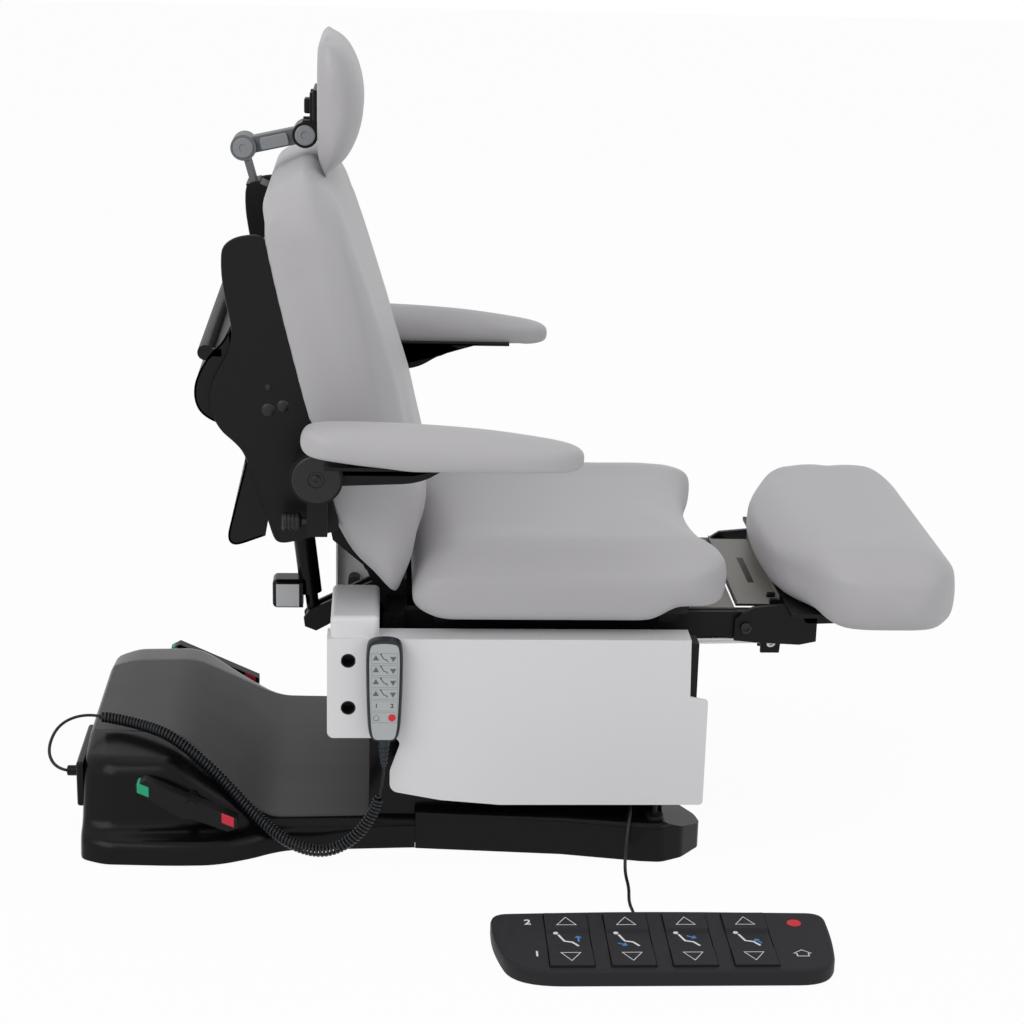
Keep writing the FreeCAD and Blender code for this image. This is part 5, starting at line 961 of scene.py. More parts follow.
def curl_points(route, turns, radius):
    """The curly lead's own line: plain ends and a helix between them that swells in and out of its curls."""
    points = route_points(route)
    reach = walk(points)
    total = reach[-1]
    start, end = COIL_START_SHARE * total, COIL_END_SHARE * total
    lead_in = 1.5 / turns
    path = []
    distance = 0.0
    while distance < start:
        path.append(at(points, reach, distance)[0])
        distance += PLAIN_STEP
    side = None
    for step in range(turns * STEPS_PER_TURN + 1):
        share = step / (turns * STEPS_PER_TURN)
        centre, heading = at(points, reach, start + share * (end - start))
        side = (heading.orthogonal() if side is None else side - heading * side.dot(heading)).normalized()
        angle = 2 * math.pi * step / STEPS_PER_TURN
        swell = radius * ease(share, 0.0, lead_in) * ease(1 - share, 0.0, lead_in)
        path.append(centre + swell * (side * math.cos(angle) + heading.cross(side) * math.sin(angle)))
    distance = end + PLAIN_STEP
    while distance < total:
        path.append(at(points, reach, distance)[0])
        distance += PLAIN_STEP
    path.append(points[-1])
    return path


class CHAIR_OT_cords(bpy.types.Operator):
    """Lays the foot control's plain lead and winds the hand control's curly one"""

    bl_idname = "chair.cords"
    bl_label = "Cords"

    def execute(self, context):
        cords = settings().cords
        foot = route_curve("foot_lead", FOOT_LEAD_ROUTE)
        foot.data.bevel_depth = cords.foot_wire
        foot.data.bevel_resolution = 4
        foot.data.use_fill_caps = True
        foot.data.materials.append(lead_pvc())
        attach(foot, "base")
        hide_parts("foot_cord")
        reach = walk(route_points(FOOT_LEAD_ROUTE))[-1]

        path = curl_points(HANDSET_LEAD_ROUTE, cords.turns, cords.coil_radius)
        curve = bpy.data.curves.new("handset_lead", "CURVE")
        curve.dimensions = "3D"
        curve.bevel_depth = cords.wire
        curve.bevel_resolution = 2
        curve.use_fill_caps = True
        spline = curve.splines.new("POLY")
        spline.points.add(len(path) - 1)
        for target, point in zip(spline.points, path):
            target.co = (*point, 1.0)
        coil = bpy.data.objects.new("handset_lead", curve)
        context.scene.collection.objects.link(coil)
        pick(coil)
        bpy.ops.object.convert(target="MESH")
        coil = outward(context.object)
        coil.data.materials.clear()
        coil.data.materials.append(lead_pvc())
        pick(coil)
        bpy.ops.object.shade_smooth()
        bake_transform(coil)
        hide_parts("handset_cord")
        return {"FINISHED"}


# Stations of the rear housing from its rear end forwards: place, then half widths and heights of the deck's
# edge, the ridge and the foot, and half widths of the ledge and the skirt, all as shares.
HOUSING_SHARES = (
    (0.000, 0.415, 0.960, 0.677, 0.880, 0.805, 0.307, 0.882, 0.904),
    (0.050, 0.479, 1.000, 0.767, 0.933, 0.869, 0.307, 0.958, 0.981),
    (0.282, 0.502, 1.000, 0.783, 0.933, 0.856, 0.293, 0.974, 1.000),
    (0.410, 0.639, 0.672, 0.786, 0.627, 0.843, 0.280, 0.965, 0.994),
    (0.538, 0.776, 0.340, 0.789, 0.320, 0.818, 0.267, 0.882, 0.904),
    (0.592, 0.776, 0.333, 0.786, 0.313, 0.805, 0.267, 0.827, 0.837),
    (1.000, 0.754, 0.333, 0.767, 0.313, 0.783, 0.267, 0.799, 0.805),
)
LEDGE_SHARE = 0.233
EASE_SHARE = 0.045
HOUSING_ROUNDS = (0.006, 0.024, 0.014, 0.012, 0.003)


def housing_row(place):
    """The housing's widths and heights at a place, with the turns of its run eased over a short way."""
    def straight(spot):
        spot = min(1.0, max(0.0, spot))
        for a, b in zip(HOUSING_SHARES, HOUSING_SHARES[1:]):
            if spot <= b[0]:
                share = (spot - a[0]) / (b[0] - a[0])
                return [u + (v - u) * share for u, v in zip(a, b)]
        return list(HOUSING_SHARES[-1])

    near = [straight(place + EASE_SHARE * step / 4) for step in range(-4, 5)]
    return [sum(values) / len(near) for values in zip(*near)][1:]


def housing_ring(place, low, high, draw):
    """One cross-section of the housing's skin; draw shrinks it towards the floor's middle."""
    deck, deck_rise, ridge, ridge_rise, foot, foot_rise, ledge, skirt = housing_row(place)
    half = [(deck, deck_rise), (ridge, ridge_rise), (foot, foot_rise), (ledge, LEDGE_SHARE), (skirt, None)]
    spots = []
    for width, rise in half:
        tall = low.z if rise is None else low.z + (high.z * rise - low.z) * draw
        spots.append((high.y * width * draw, tall))
    corners = [(-y, z) for y, z in spots] + [(y, z) for y, z in reversed(spots)]
    x = low.x + (high.x - low.x) * place
    ring = eased(corners, HOUSING_ROUNDS + HOUSING_ROUNDS[::-1])
    return [(x, y, z) for y, z in ring]


class CHAIR_OT_base(bpy.types.Operator):
    """Finishes the floor base: housing, deck, leg covers, skirt, lift column and electrics"""

    bl_idname = "chair.base"
    bl_label = "Base"

    def execute(self, context):
        low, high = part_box("rear_housing")
        places = [(0.0, 0.955), (0.005, 0.982), (0.014, 0.996)]
        places += [(0.03 + 0.97 * i / 70, 1.0) for i in range(71)]
        skin_rings = [housing_ring(place, low, high, draw) for place, draw in places]
        housing = lofted("housing_skin", skin_rings)
        fitted(housing, "base", gloss_abs(), "black_gloss", "rear_housing")

        d_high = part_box("deck_panel")[1]
        lift, thick, inset = 1.4 * MM, 6.0 * MM, 3.0 * MM
        rings = []
        end = (d_high.x - low.x) / (high.x - low.x)
        for step in range(61):
            place = 0.012 + (end - 0.012) * step / 60
            row = housing_row(place)
            half, top = high.y * row[0] - inset, high.z * row[1] + lift
            corners = [(-half, top - thick), (half, top - thick), (half, top), (-half, top)]
            x = low.x + (high.x - low.x) * place
            rings.append([(x, y, z) for y, z in eased(corners, (0.001, 0.001, 0.005, 0.005))])
        deck = rounded(lofted("deck_skin", rings), 0.0015, 50.0, 2)
        fitted(deck, "base", deck_abs(), "charcoal", "deck_panel")

        softened("leg_covers", "base", gloss_abs(), "black_gloss", 0.004, 25.0)
        softened("lift_skirt", "base", gloss_abs(), "black_gloss", 0.004)
        softened("connector_panel", "base", gloss_abs(), "charcoal", 0.0012)
        dressed(black_coat(), "base_plate", "caster_frame", "control_box")
        dressed(anodised(), "lift_column_outer", "lift_column_middle", "lift_column_inner")
        dressed(gloss_abs(), "handset_plug")
        return {"FINISHED"}


PEDAL_FALL = 0.447
PATCH_HALF = 0.007


class CHAIR_OT_rolling_gear(bpy.types.Operator):
    """Finishes the casters, the rollers and the pedals with their coloured patches"""

    bl_idname = "chair.rolling_gear"
    bl_label = "Casters and pedals"

    def execute(self, context):
        dressed(zinc(), "caster_fork_right", "caster_fork_left")
        dressed(tyre_rubber(), "caster_wheel_right", "caster_wheel_left", "front_roller_right",
                "front_roller_left")
        softened("pedal_bar", "pedals", black_coat(), "black_paint", 0.0015)
        low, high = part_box("pedal_bar")
        reach = high.x - low.x
        upwards = Vector((PEDAL_FALL, 0.0, 1.0)).normalized()
        for name, material, shares, height in (
            ("raise", raise_pad(), (0.02, 0.13), 0.1172), ("lower", lower_pad(), (0.846, 0.962), 0.0681),
        ):
            start, end = (low.x + share * reach for share in shares)
            centre = Vector(((start + end) / 2, 0.0, height))
            for side, sign in SIDES.items():
                pad = copied("pedal_bar", f"pedal_{name}_patch_{side}")
                cut_to(pad, (0, sign * (high.y - 0.030), 0), (0, sign, 0))
                cut_to(pad, (start, 0, 0), (1, 0, 0))
                cut_to(pad, (end, 0, 0), (-1, 0, 0))
                cut_to(pad, centre + upwards * PATCH_HALF, -upwards)
                cut_to(pad, centre - upwards * PATCH_HALF, upwards)
                fitted(rounded(swollen(pad, 0.0008), 0.0008), "pedals", material, "tread")
        return {"FINISHED"}


# Corners of the foot control's plan as shares of its length and depth, and the size of its marks in metres.
FOOT_PLAN_SHARES = (
    (0.0, 0.96), (0.45, 1.0), (1.0, 0.96), (1.0, 0.50), (0.975, 0.0), (0.055, 0.0), (0.0, 0.50),
)
FOOT_PLAN_ROUNDS = (0.026, 0.120, 0.026, 0.050, 0.050, 0.070, 0.060)
FOOT_FIGURE = ((-0.013, 0.016), (-0.006, -0.002), (0.005, -0.005), (0.013, -0.016))
FOOT_ARROWS = {"lift": ((0.014, -0.004), (0.014, 0.012)), "tilt": ((-0.016, -0.008), (-0.004, -0.014)),
               "back": ((-0.002, 0.012), (0.010, 0.006)), "leg": ((0.016, -0.010), (0.008, 0.002))}


class CHAIR_OT_foot_control(bpy.types.Operator):
    """Moulds the foot control, beds its keys and prints its marks"""

    bl_idname = "chair.foot_control"
    bl_label = "Foot control"

    def execute(self, context):
        low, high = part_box("foot_control_body")
        size = high - low
        corners = [(low.x + u * size.x, low.y + v * size.y) for u, v in FOOT_PLAN_SHARES]
        shell = slab("foot_shell", eased(corners, FOOT_PLAN_ROUNDS, 8), upright, low.z, high.z, 0.005)
        white, blue, red = ink("white", "#E8E8EA"), ink("blue", "#3F86C8"), ink("red", "#D8222C")
        bed = Vector((1.4, 1.4, 0.0)) * MM
        for key in ("lift", "tilt", "back", "leg"):
            k_low, k_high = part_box("foot_key_" + key)
            bed_low, bed_high = k_low - bed - Vector((0, 0, 0.001)), k_high + bed + Vector((0, 0, 0.02))
            cut_by(shell, block("key_bed", bed_low, bed_high, 0.0008))
        fitted(shell, "base", keypad_rubber(), "rubber", "foot_control_body")

        def sheet(node, x, y):
            place = under(node, (x, y, 1.0), (0, 0, -1))
            return plane(place, (1, 0, 0), (0, 1, 0))

        for key in ("lift", "tilt", "back", "leg"):
            node, body = "foot_key_" + key, "key_" + key
            softened(node, body, keypad_rubber(), "rubber", 0.0022)
            k_low, k_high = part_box(node)
            x, y = (k_low.x + k_high.x) / 2, (k_low.y + k_high.y) / 2
            reach = 0.34 * (k_high.y - k_low.y)
            marks = []
            for turn, place in ((1, y + reach), (-1, y - reach)):
                half, tall = 0.0135, 0.011
                outline = [(-half, -turn * tall), (half, -turn * tall), (0.0, turn * tall)]
                marks.append(stroke(sheet(node, x, place), outline, 0.0022, closed=True))
            middle = sheet(node, x, y)
            marks.append(stroke(middle, FOOT_FIGURE, 0.0034))
            marks.append(patch(middle, (-0.0165, 0.0205), 0.0036, 24))
            fitted(joined(f"foot_mark_{key}", marks), body, white, "rubber")
            tail, tip = (Vector(p) for p in FOOT_ARROWS[key])
            way = (tip - tail).normalized()
            side = Vector((-way.y, way.x)) * 0.0042
            arrow = [stroke(middle, [tail, tip], 0.0026),
                     stroke(middle, [tip - way * 0.005 + side, tip, tip - way * 0.005 - side], 0.0026)]
            fitted(joined(f"foot_arrow_{key}", arrow), body, blue, "rubber")
        body = "foot_control_body"
        numbers = [figure(sheet(body, low.x + 0.052, high.y - 0.036), "2", 0.020),
                   figure(sheet(body, low.x + 0.060, low.y + 0.050), "1", 0.020)]
        home = sheet(body, high.x - 0.050, low.y + 0.050)
        numbers.append(stroke(home, [(-0.012, 0.0), (0.0, 0.009), (0.012, 0.0), (0.008, 0.0), (0.008, -0.008),
                                     (-0.008, -0.008), (-0.008, 0.0)], 0.002, closed=True))
        fitted(joined("foot_mark_body", numbers), "base", white, "rubber")
        dot = patch(sheet(body, high.x - 0.047, high.y - 0.040), (0, 0), 0.010, 32)
        fitted(joined("foot_mark_stop", [dot]), "base", red, "rubber")
        return {"FINISHED"}


class CHAIR_OT_carriage(bpy.types.Operator):
    """Finishes the carriage with its white shroud, black cups behind its ports as painted shade inside them,
    and its rear cover
    """

    bl_idname = "chair.carriage"
    bl_label = "Carriage"

    def execute(self, context):
        dressed(black_coat(), "carriage_frame")
        softened("shroud", "carriage", white_coat(), "white_paint", 0.0012)
        softened("rear_cover", "carriage", white_coat(), "white_paint", 0.002)
        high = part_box("shroud")[1]
        inner, outer, deep = 9.2 * MM, 10.7 * MM, 26.0 * MM
        floor = deep + 1.5 * MM
        profile = [(0.0, deep), (inner, deep), (inner, 0.0), (outer, 0.0), (outer, floor), (0.0, floor)]
        # Painted shade: a black cup behind each port stands for the shade seen inside the hole.
        for side, sign in SIDES.items():
            cups = [turned("cup", profile, (PORT_X, sign * high.y, z), (0, -sign, 0)) for z in PORT_HEIGHTS]
            fitted(joined("port_shade_cups_" + side, cups), "carriage", knob_nylon(), "black_paint")
        return {"FINISHED"}


PORT_X, PORT_HEIGHTS = -0.246, (0.323, 0.249)


# The hand control's outline from its top: shares of its half width, and heights as shares of its body.
HANDSET_SHARES = (
    (0.00, 1.000), (0.55, 0.992), (0.93, 0.955), (1.00, 0.820), (0.97, 0.480), (0.90, 0.180), (0.80, 0.055),
    (0.55, 0.000), (0.00, 0.000), (-0.55, 0.000), (-0.80, 0.055), (-0.90, 0.180), (-0.97, 0.480),
    (-1.00, 0.820), (-0.93, 0.955), (-0.55, 0.992),
)
HANDSET_FOOT = 0.204
KEY_TOP, KEY_PITCH = 0.0275, 0.0185
KEY_FIGURE = ((-0.0045, 0.0048), (-0.001, -0.001), (0.002, -0.0015), (0.0048, -0.0048))
KEY_BOX = ((-0.019, -0.0078), (0.019, -0.0078), (0.019, 0.0078), (-0.019, 0.0078))
KEY_HOUSE = ((-0.0165, 0.0), (-0.0115, 0.0045), (-0.0065, 0.0), (-0.008, 0.0), (-0.008, -0.0045),
             (-0.015, -0.0045), (-0.015, 0.0))


class CHAIR_OT_handset(bpy.types.Operator):
    """Moulds the hand control: shell, ribbed strain relief, membrane and its printed keys"""

    bl_idname = "chair.handset"
    bl_label = "Handset"

    def execute(self, context):
        low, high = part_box("handset")
        middle, half, tall = (low.x + high.x) / 2, (high.x - low.x) / 2, high.z - HANDSET_FOOT
        corners = [(middle + u * half, HANDSET_FOOT + v * tall) for u, v in HANDSET_SHARES]
        outline = eased(corners, 0.016, 3)
        shell = slab("handset_case", outline, across_y, low.y + 0.0008, high.y, 0.005)
        relief_y = (low.y + high.y) / 2
        reach = HANDSET_FOOT - low.z
        profile = [(0.0, -0.004), (0.0095, -0.004), (0.0092, 0.003)]
        for rib in range(5):
            along, radius = 0.005 + 0.0072 * rib, 0.0086 - 0.0008 * rib
            profile += [(radius, along), (radius, along + 0.0040), (radius - 0.0018, along + 0.0048),
                        (radius - 0.0018, along + 0.0066)]
        profile += [(0.0040, reach - 0.001), (0.0034, reach), (0.0, reach)]
        relief = turned("relief", profile, (middle, relief_y, HANDSET_FOOT), (0, 0, -1), 28)
        case = joined("handset_shell", [shell, relief])
        fitted(case, "carriage", handset_shell(), "grey_plastic", "handset")
        face = eased(drawn_in([Vector(p) for p in corners], 0.0048), 0.012, 3)
        face = slab("handset_face", face, across_y, low.y, low.y + 0.0030, 0.0004)
        fitted(face, "carriage", membrane(), "grey_plastic")
        grey, dark, red = ink("grey", "#5E6163"), ink("dark", "#2A2C2E"), ink("red", "#D8222C")
        frame_ink = ink("pale_grey", "#8E9294")

        def sheet(drop):
            return plane((middle, low.y - 0.0001, high.z - drop), (1, 0, 0), (0, 0, 1))

        arrows, figures, boxes = [], [], []
        for row in range(4):
            place = sheet(KEY_TOP + KEY_PITCH * row)
            arrows.append(patch(place, (-0.0125, 0.0), 0.0052, 3, math.pi / 2))
            arrows.append(patch(place, (0.0125, 0.0), 0.0052, 3, -math.pi / 2))
            figures.append(stroke(place, KEY_FIGURE, 0.0013))
            figures.append(patch(place, (-0.0052, 0.0062), 0.0012, 16))
        for row in range(6):
            place = sheet(KEY_TOP + KEY_PITCH * row)
            boxes.append(stroke(place, KEY_BOX, 0.0006, True))
        place = sheet(KEY_TOP + KEY_PITCH * 4)
        for text, across in (("1", -0.0115), ("2", 0.0115)):
            figures.append(figure(place @ Matrix.Translation((across, 0, 0)), text, 0.009))
        place = sheet(KEY_TOP + KEY_PITCH * 5)
        arrows.append(stroke(place, KEY_HOUSE, 0.0010, True))
        stop = patch(place, (0.0115, 0.0), 0.0056, 32)
        fitted(joined("handset_arrows", arrows), "carriage", grey, "grey_plastic")
        fitted(joined("handset_figures", figures), "carriage", dark, "grey_plastic")
        fitted(joined("handset_key_lines", boxes), "carriage", frame_ink, "grey_plastic")
        fitted(joined("handset_stop", [stop]), "carriage", red, "grey_plastic")
        return {"FINISHED"}


class CHAIR_OT_seat_frame(bpy.types.Operator):
    """Finishes the seat's and the leg rest's frames, with the flap over the leg rest's pan and its screws"""

    bl_idname = "chair.seat_frame"
    bl_label = "Seat and leg frames"

    def execute(self, context):
        dressed(black_coat(), "seat_frame", "hinge_pins")
        # The seat board's near-black plywood is painted shade for the dark under the seat.
        dressed(plywood(), "seat_board")
        softened("leg_apron", "seat", apron_sheet(), "apron", 0.0008)
        arms = cut_to(copied("leg_frame", "leg_arms"), (ARM_END, 0, 0), (-1, 0, 0))
        pan = cut_to(copied("leg_frame", "leg_pan"), (ARM_END, 0, 0), (1, 0, 0))
        cut_to(pan, (0, 0, PAN_LOW), (0, 0, 1))
        pieces = [rounded(arms, 0.003), rounded(pan, 0.001)]
        bar = eased([Vector(p) for p in LEG_BAR], 0.012, 4)
        for sign in SIDES.values():
            depths = sorted((sign * 0.1806, sign * 0.1886))
            pieces.append(slab("leg_bar", bar, across_y, *depths, 0.0012))
        fitted(joined("leg_carrier", pieces), "legrest", black_coat(), "black_paint", "leg_frame")
        half = FLAP_HALF
        sheets = [block("flap", (FLAP_REAR, -half, FLAP_TOP), (FLAP_FRONT, half, FLAP_TOP + 0.0012), 0.0004),
                  block("lip", (FLAP_REAR, -half, FLAP_TOP), (FLAP_REAR + 0.002, half, FLAP_TOP + 0.007),
                        0.0006),
                  block("riser", (FLAP_FRONT - 0.0018, -half, FLAP_TOP),
                        (FLAP_FRONT, half, FLAP_TOP + 0.0135), 0.0006)]
        fitted(joined("leg_flap_cover", sheets), "legrest", apron_sheet(), "apron")
        # Painted shade: a black strip over the flap stands for the shade seen down its slot.
        slot = block("leg_flap_slot_shade", (0.3745, -0.060, FLAP_TOP - 0.0025), (0.3845, 0.060, FLAP_TOP + 0.0015),
                     0.0004)
        fitted(slot, "legrest", black_coat(), "black_paint")
        screws, nuts = [], []
        for sign in SIDES.values():
            screws.append(screw_head("leg_screw", (0.353, sign * 0.191, 0.340), (0, sign, 0), 0.0085, 0.004))
        fitted(joined("leg_hinge_screws", screws), "seat", knob_nylon(), "black_paint")
        nuts.append(screw_head("eye_nut", (0.398, -0.1576, 0.305), (0, -1, 0), 0.0075, 0.005))
        fitted(joined("leg_drive_nut", nuts), "legrest", zinc(), "steel")
        return {"FINISHED"}


ARM_END, PAN_LOW = 0.462, 0.3739
LEG_BAR = ((0.440, 0.376), (0.440, 0.345), (0.520, 0.348), (0.575, 0.362), (0.590, 0.376))
FLAP_REAR, FLAP_FRONT, FLAP_TOP, FLAP_HALF = 0.3412, 0.4078, 0.3661, 0.157


# Corners of a side plate along its rear edge from the top and back up its front edge, in metres.
PLATE_OUTLINE = (
    (-0.365, 0.9446), (-0.391, 0.9435), (-0.409, 0.938), (-0.4225, 0.926), (-0.424, 0.905), (-0.423, 0.882),
    (-0.418, 0.848), (-0.412, 0.822), (-0.410, 0.802), (-0.416, 0.775), (-0.430, 0.752), (-0.4405, 0.729),
    (-0.4435, 0.705), (-0.439, 0.684), (-0.427, 0.662), (-0.408, 0.646), (-0.396, 0.632), (-0.387, 0.608),
    (-0.372, 0.564), (-0.361, 0.527), (-0.353, 0.500), (-0.342, 0.4955), (-0.327, 0.498), (-0.258, 0.516),
    (-0.2775, 0.600), (-0.297, 0.682), (-0.3245, 0.800), (-0.342, 0.876),
)
COVER_LINE = (
    (-0.366, 0.9255), (-0.384, 0.880), (-0.401, 0.840), (-0.415, 0.808), (-0.424, 0.790), (-0.441, 0.774),
    (-0.455, 0.752), (-0.464, 0.730), (-0.465, 0.708), (-0.458, 0.689), (-0.441, 0.676), (-0.418, 0.668),
    (-0.400, 0.650), (-0.392, 0.620), (-0.4205, 0.506), (-0.418, 0.494), (-0.408, 0.4895), (-0.366, 0.505),
)
COVER_SHEET = 3.0 * MM
COVER_END = 4.0 * MM
COVER_SLOT_HALF, COVER_SLOT_TOP, COVER_POST_LOW = 0.032, 0.6325, 0.812
COVER_BULGE, COVER_FLAP = slice(3, 13), slice(13, 18)
PLATE_CAPS = ((-0.360, 0.695, 0.0095), (-0.339, 0.701, 0.0085), (-0.360, 0.728, 0.005))


class CHAIR_OT_back_frame(bpy.types.Operator):
    """Finishes the back: rolled side plates with their caps, frame, rear cover and roll bar"""

    bl_idname = "chair.back_frame"
    bl_label = "Back frame"

    def execute(self, context):
        outline = eased([Vector(p) for p in PLATE_OUTLINE], 0.012, 3)
        for side, sign in SIDES.items():
            low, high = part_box("side_plate_" + side)
            plate = slab("side_panel_" + side, outline, across_y, low.y, high.y, 0.0028)
            fitted(plate, "back", black_coat(), "black_paint", "side_plate_" + side)
            face = sign * max(abs(low.y), abs(high.y))
            caps = []
            for x, z, radius in PLATE_CAPS:
                profile = [(0.0, -0.002), (radius, -0.002), (radius, 0.0006), (0.82 * radius, 0.0019),
                           (0.4 * radius, 0.0026), (0.0, 0.0028)]
                caps.append(turned("cap", profile, (x, face, z), (0, sign, 0), 32))
            fitted(joined("panel_caps_" + side, caps), "back", knob_nylon(), "black_paint")

        low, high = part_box("back_rear_cover")
        line = eased([Vector(p) for p in COVER_LINE], 0.014, 4, closed=False)
        sheet = list(zip(line, drawn_line(line, COVER_SHEET)))
        above_slot = [pair for pair in sheet if COVER_SLOT_TOP < pair[0].y < COVER_POST_LOW]
        pieces = []
        strips = ((low.y, -COVER_SLOT_HALF, sheet), (-COVER_SLOT_HALF, COVER_SLOT_HALF, above_slot),
                  (COVER_SLOT_HALF, high.y, sheet))
        for near, far, run in strips:
            rings = [[(a.x, near, a.y), (a.x, far, a.y), (b.x, far, b.y), (b.x, near, b.y)] for a, b in run]
            pieces.append(lofted("cover", rings))
        for run in (COVER_BULGE, COVER_FLAP):
            corners = [Vector(p) for p in COVER_LINE[run]]
            if run is COVER_FLAP:
                corners.append(Vector((corners[-1].x, corners[0].y + 0.020)))
            end = eased(corners, 0.010, 4)
            for y in (low.y, high.y - COVER_END):
                pieces.append(slab("cover_end", end, across_y, y, y + COVER_END, 0.0006))
        fitted(joined("rear_shell", pieces), "back", black_coat(), "black_paint", "back_rear_cover")
        dressed(black_coat(), "back_frame", "arm_mounts")
        dressed(black_coat(), "roll_bar")
        return {"FINISHED"}


def drawn_line(line, by):
    """An open flat line moved over to its right-hand side by a sheet's thickness."""
    moved = []
    for i, spot in enumerate(line):
        way = (line[min(i + 1, len(line) - 1)] - line[max(i - 1, 0)]).normalized()
        moved.append(spot + Vector((-way.y, way.x)) * by)
    return moved


class CHAIR_OT_headrest(bpy.types.Operator):
    """Finishes the headrest's post, link and mount, with the discs on its knuckles"""

    bl_idname = "chair.headrest"
    bl_label = "Headrest"

    def execute(self, context):
        softened("head_link", "head_arm", nylon(), "grey_plastic", 0.0018)
        softened("head_post", "head_stem", nylon(), "grey_plastic", 0.0018)
        foot = cut_to(copied("head_mount", "mount_foot"), (0, 0, MOUNT_WAIST), (0, 0, -1))
        plate = cut_to(copied("head_mount", "mount_plate"), (0, 0, MOUNT_WAIST), (0, 0, 1))
        m_low, m_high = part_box("head_mount")
        cut_to(plate, (m_high.x - 0.013, 0, 0), (1, 0, 0))
        lever = block("mount_lever", (m_low.x + 0.017, -0.011, MOUNT_WAIST + 0.008),
                      (m_high.x - 0.008, 0.011, m_high.z - 0.016), 0.003)
        pieces = [rounded(piece, 0.0018) for piece in (foot, plate)] + [lever]
        fitted(joined("head_bracket", pieces), "head", black_coat(), "black_paint", "head_mount")
        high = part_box("head_link")[1]
        for name, x, z in KNUCKLES:
            discs = []
            for sign in SIDES.values():
                profile = [(0.0, -0.001), (0.0150, -0.001), (0.0150, 0.0012), (0.0138, 0.0022),
                           (0.0062, 0.0022), (0.0054, 0.0008), (0.0, 0.0008)]
                discs.append(turned("disc", profile, (x, sign * high.y, z), (0, sign, 0), 40))
            fitted(joined(name + "_discs", discs), "head_arm", disc_nylon(), "grey_plastic")
        start, end = (Vector((x, 0.0, z)) for _, x, z in KNUCKLES)
        way = (end - start).normalized()
        side = Vector((-way.z, 0.0, way.x)) * 0.0085
        a, b = start + way * 0.026, end - way * 0.026
        corners = [Vector((p.x, p.z)) for p in (a - side, b - side, b + side, a + side)]
        insets = []
        for sign in SIDES.values():
            depths = sorted((sign * (high.y - 0.010), sign * (LINK_FACE + 0.0008)))
            insets.append(slab("inset", eased(corners, 0.004, 4), across_y, *depths, 0.0005))
        fitted(joined("link_insets", insets), "head_arm", disc_nylon(), "grey_plastic")
        return {"FINISHED"}


LINK_FACE = 0.024
MOUNT_WAIST = 1.070
KNUCKLES = (("knuckle", -0.407, 1.028), ("wrist", -0.316, 1.048))


WEB_OUTLINE = (
    (-0.300, 0.6545), (-0.296, 0.612), (-0.262, 0.604), (-0.160, 0.608), (-0.136, 0.614), (-0.106, 0.632),
    (-0.070, 0.643), (-0.030, 0.6545),
)
HUB_X, HUB_Z = -0.290, 0.617


class CHAIR_OT_arms(bpy.types.Operator):
    """Finishes the arm brackets and turns the ribbed lock knobs"""

    bl_idname = "chair.arms"
    bl_label = "Arms"

    def execute(self, context):
        for side, sign in SIDES.items():
            softened("arm_bracket_" + side, "arm_" + side, black_coat(), "black_paint", 0.002)
            b_low, b_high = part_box("arm_bracket_" + side)
            inner = min(abs(b_low.y), abs(b_high.y)) + 0.0114
            web = eased([Vector(p) for p in WEB_OUTLINE], 0.012, 4)
            depths = sorted((sign * inner, sign * (inner + 0.010)))
            web = slab("arm_web_" + side, web, across_y, *depths, 0.0015)
            fitted(web, "arm_" + side, black_coat(), "black_paint")
            m_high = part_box("arm_mounts")[1]
            hub = [(0.0, -0.001), (0.0340, -0.001), (0.0340, 0.0010), (0.0322, 0.0024), (0.0120, 0.0030),
                   (0.0112, 0.0018), (0.0, 0.0018)]
            cap = turned("hub_cap", hub, (HUB_X, sign * m_high.y, HUB_Z), (0, sign, 0), 56)
            bolt = screw_head("hub_bolt", (HUB_X, sign * (m_high.y + 0.0018), HUB_Z), (0, sign, 0),
                              0.0065, 0.0028)
            fitted(joined("hub_cap_" + side, [cap, bolt]), "back", knob_nylon(), "black_paint")
            low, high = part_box("plunger_" + side)
            reach, radius = high.x - low.x, (high.z - low.z) / 2
            profile = [(0.0, 0.0), (radius * 0.8, 0.0), (radius, 0.002)]
            for rib in range(4):
                start = 0.003 + 0.0055 * rib
                profile += [(radius, start), (radius, start + 0.003), (radius * 0.86, start + 0.0035),
                            (radius * 0.86, start + 0.005)]
            profile += [(radius * 0.7, 0.026), (radius * 0.42, 0.028), (radius * 0.42, reach), (0.0, reach)]
            start = Vector((low.x, (low.y + high.y) / 2, (low.z + high.z) / 2))
            knob = turned("lock_knob_" + side, profile, start, (1, 0, 0))
            fitted(knob, "lock_" + side, knob_nylon(), "grey_plastic", "plunger_" + side)
        return {"FINISHED"}


class CHAIR_OT_drives(bpy.types.Operator):
    """Finishes the three actuators"""

    bl_idname = "chair.drives"
    bl_label = "Actuators"

    def execute(self, context):
        dressed(gloss_abs(), "back_actuator", "leg_actuator", "tilt_actuator")
        dressed(zinc(), "back_actuator_rod", "leg_actuator_rod", "tilt_actuator_rod")
        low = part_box("back_actuator")[0]
        place = under("back_actuator", (low.x + 0.024, -1.0, 0.325), (0, 1, 0))
        film = block("motor_plate", (low.x + 0.006, place.y - 0.0006, 0.309),
                     (low.x + 0.042, place.y + 0.0002, 0.346), 0.0003)
        fitted(film, "back_drive", plate_film(), "grey_plastic")
        return {"FINISHED"}


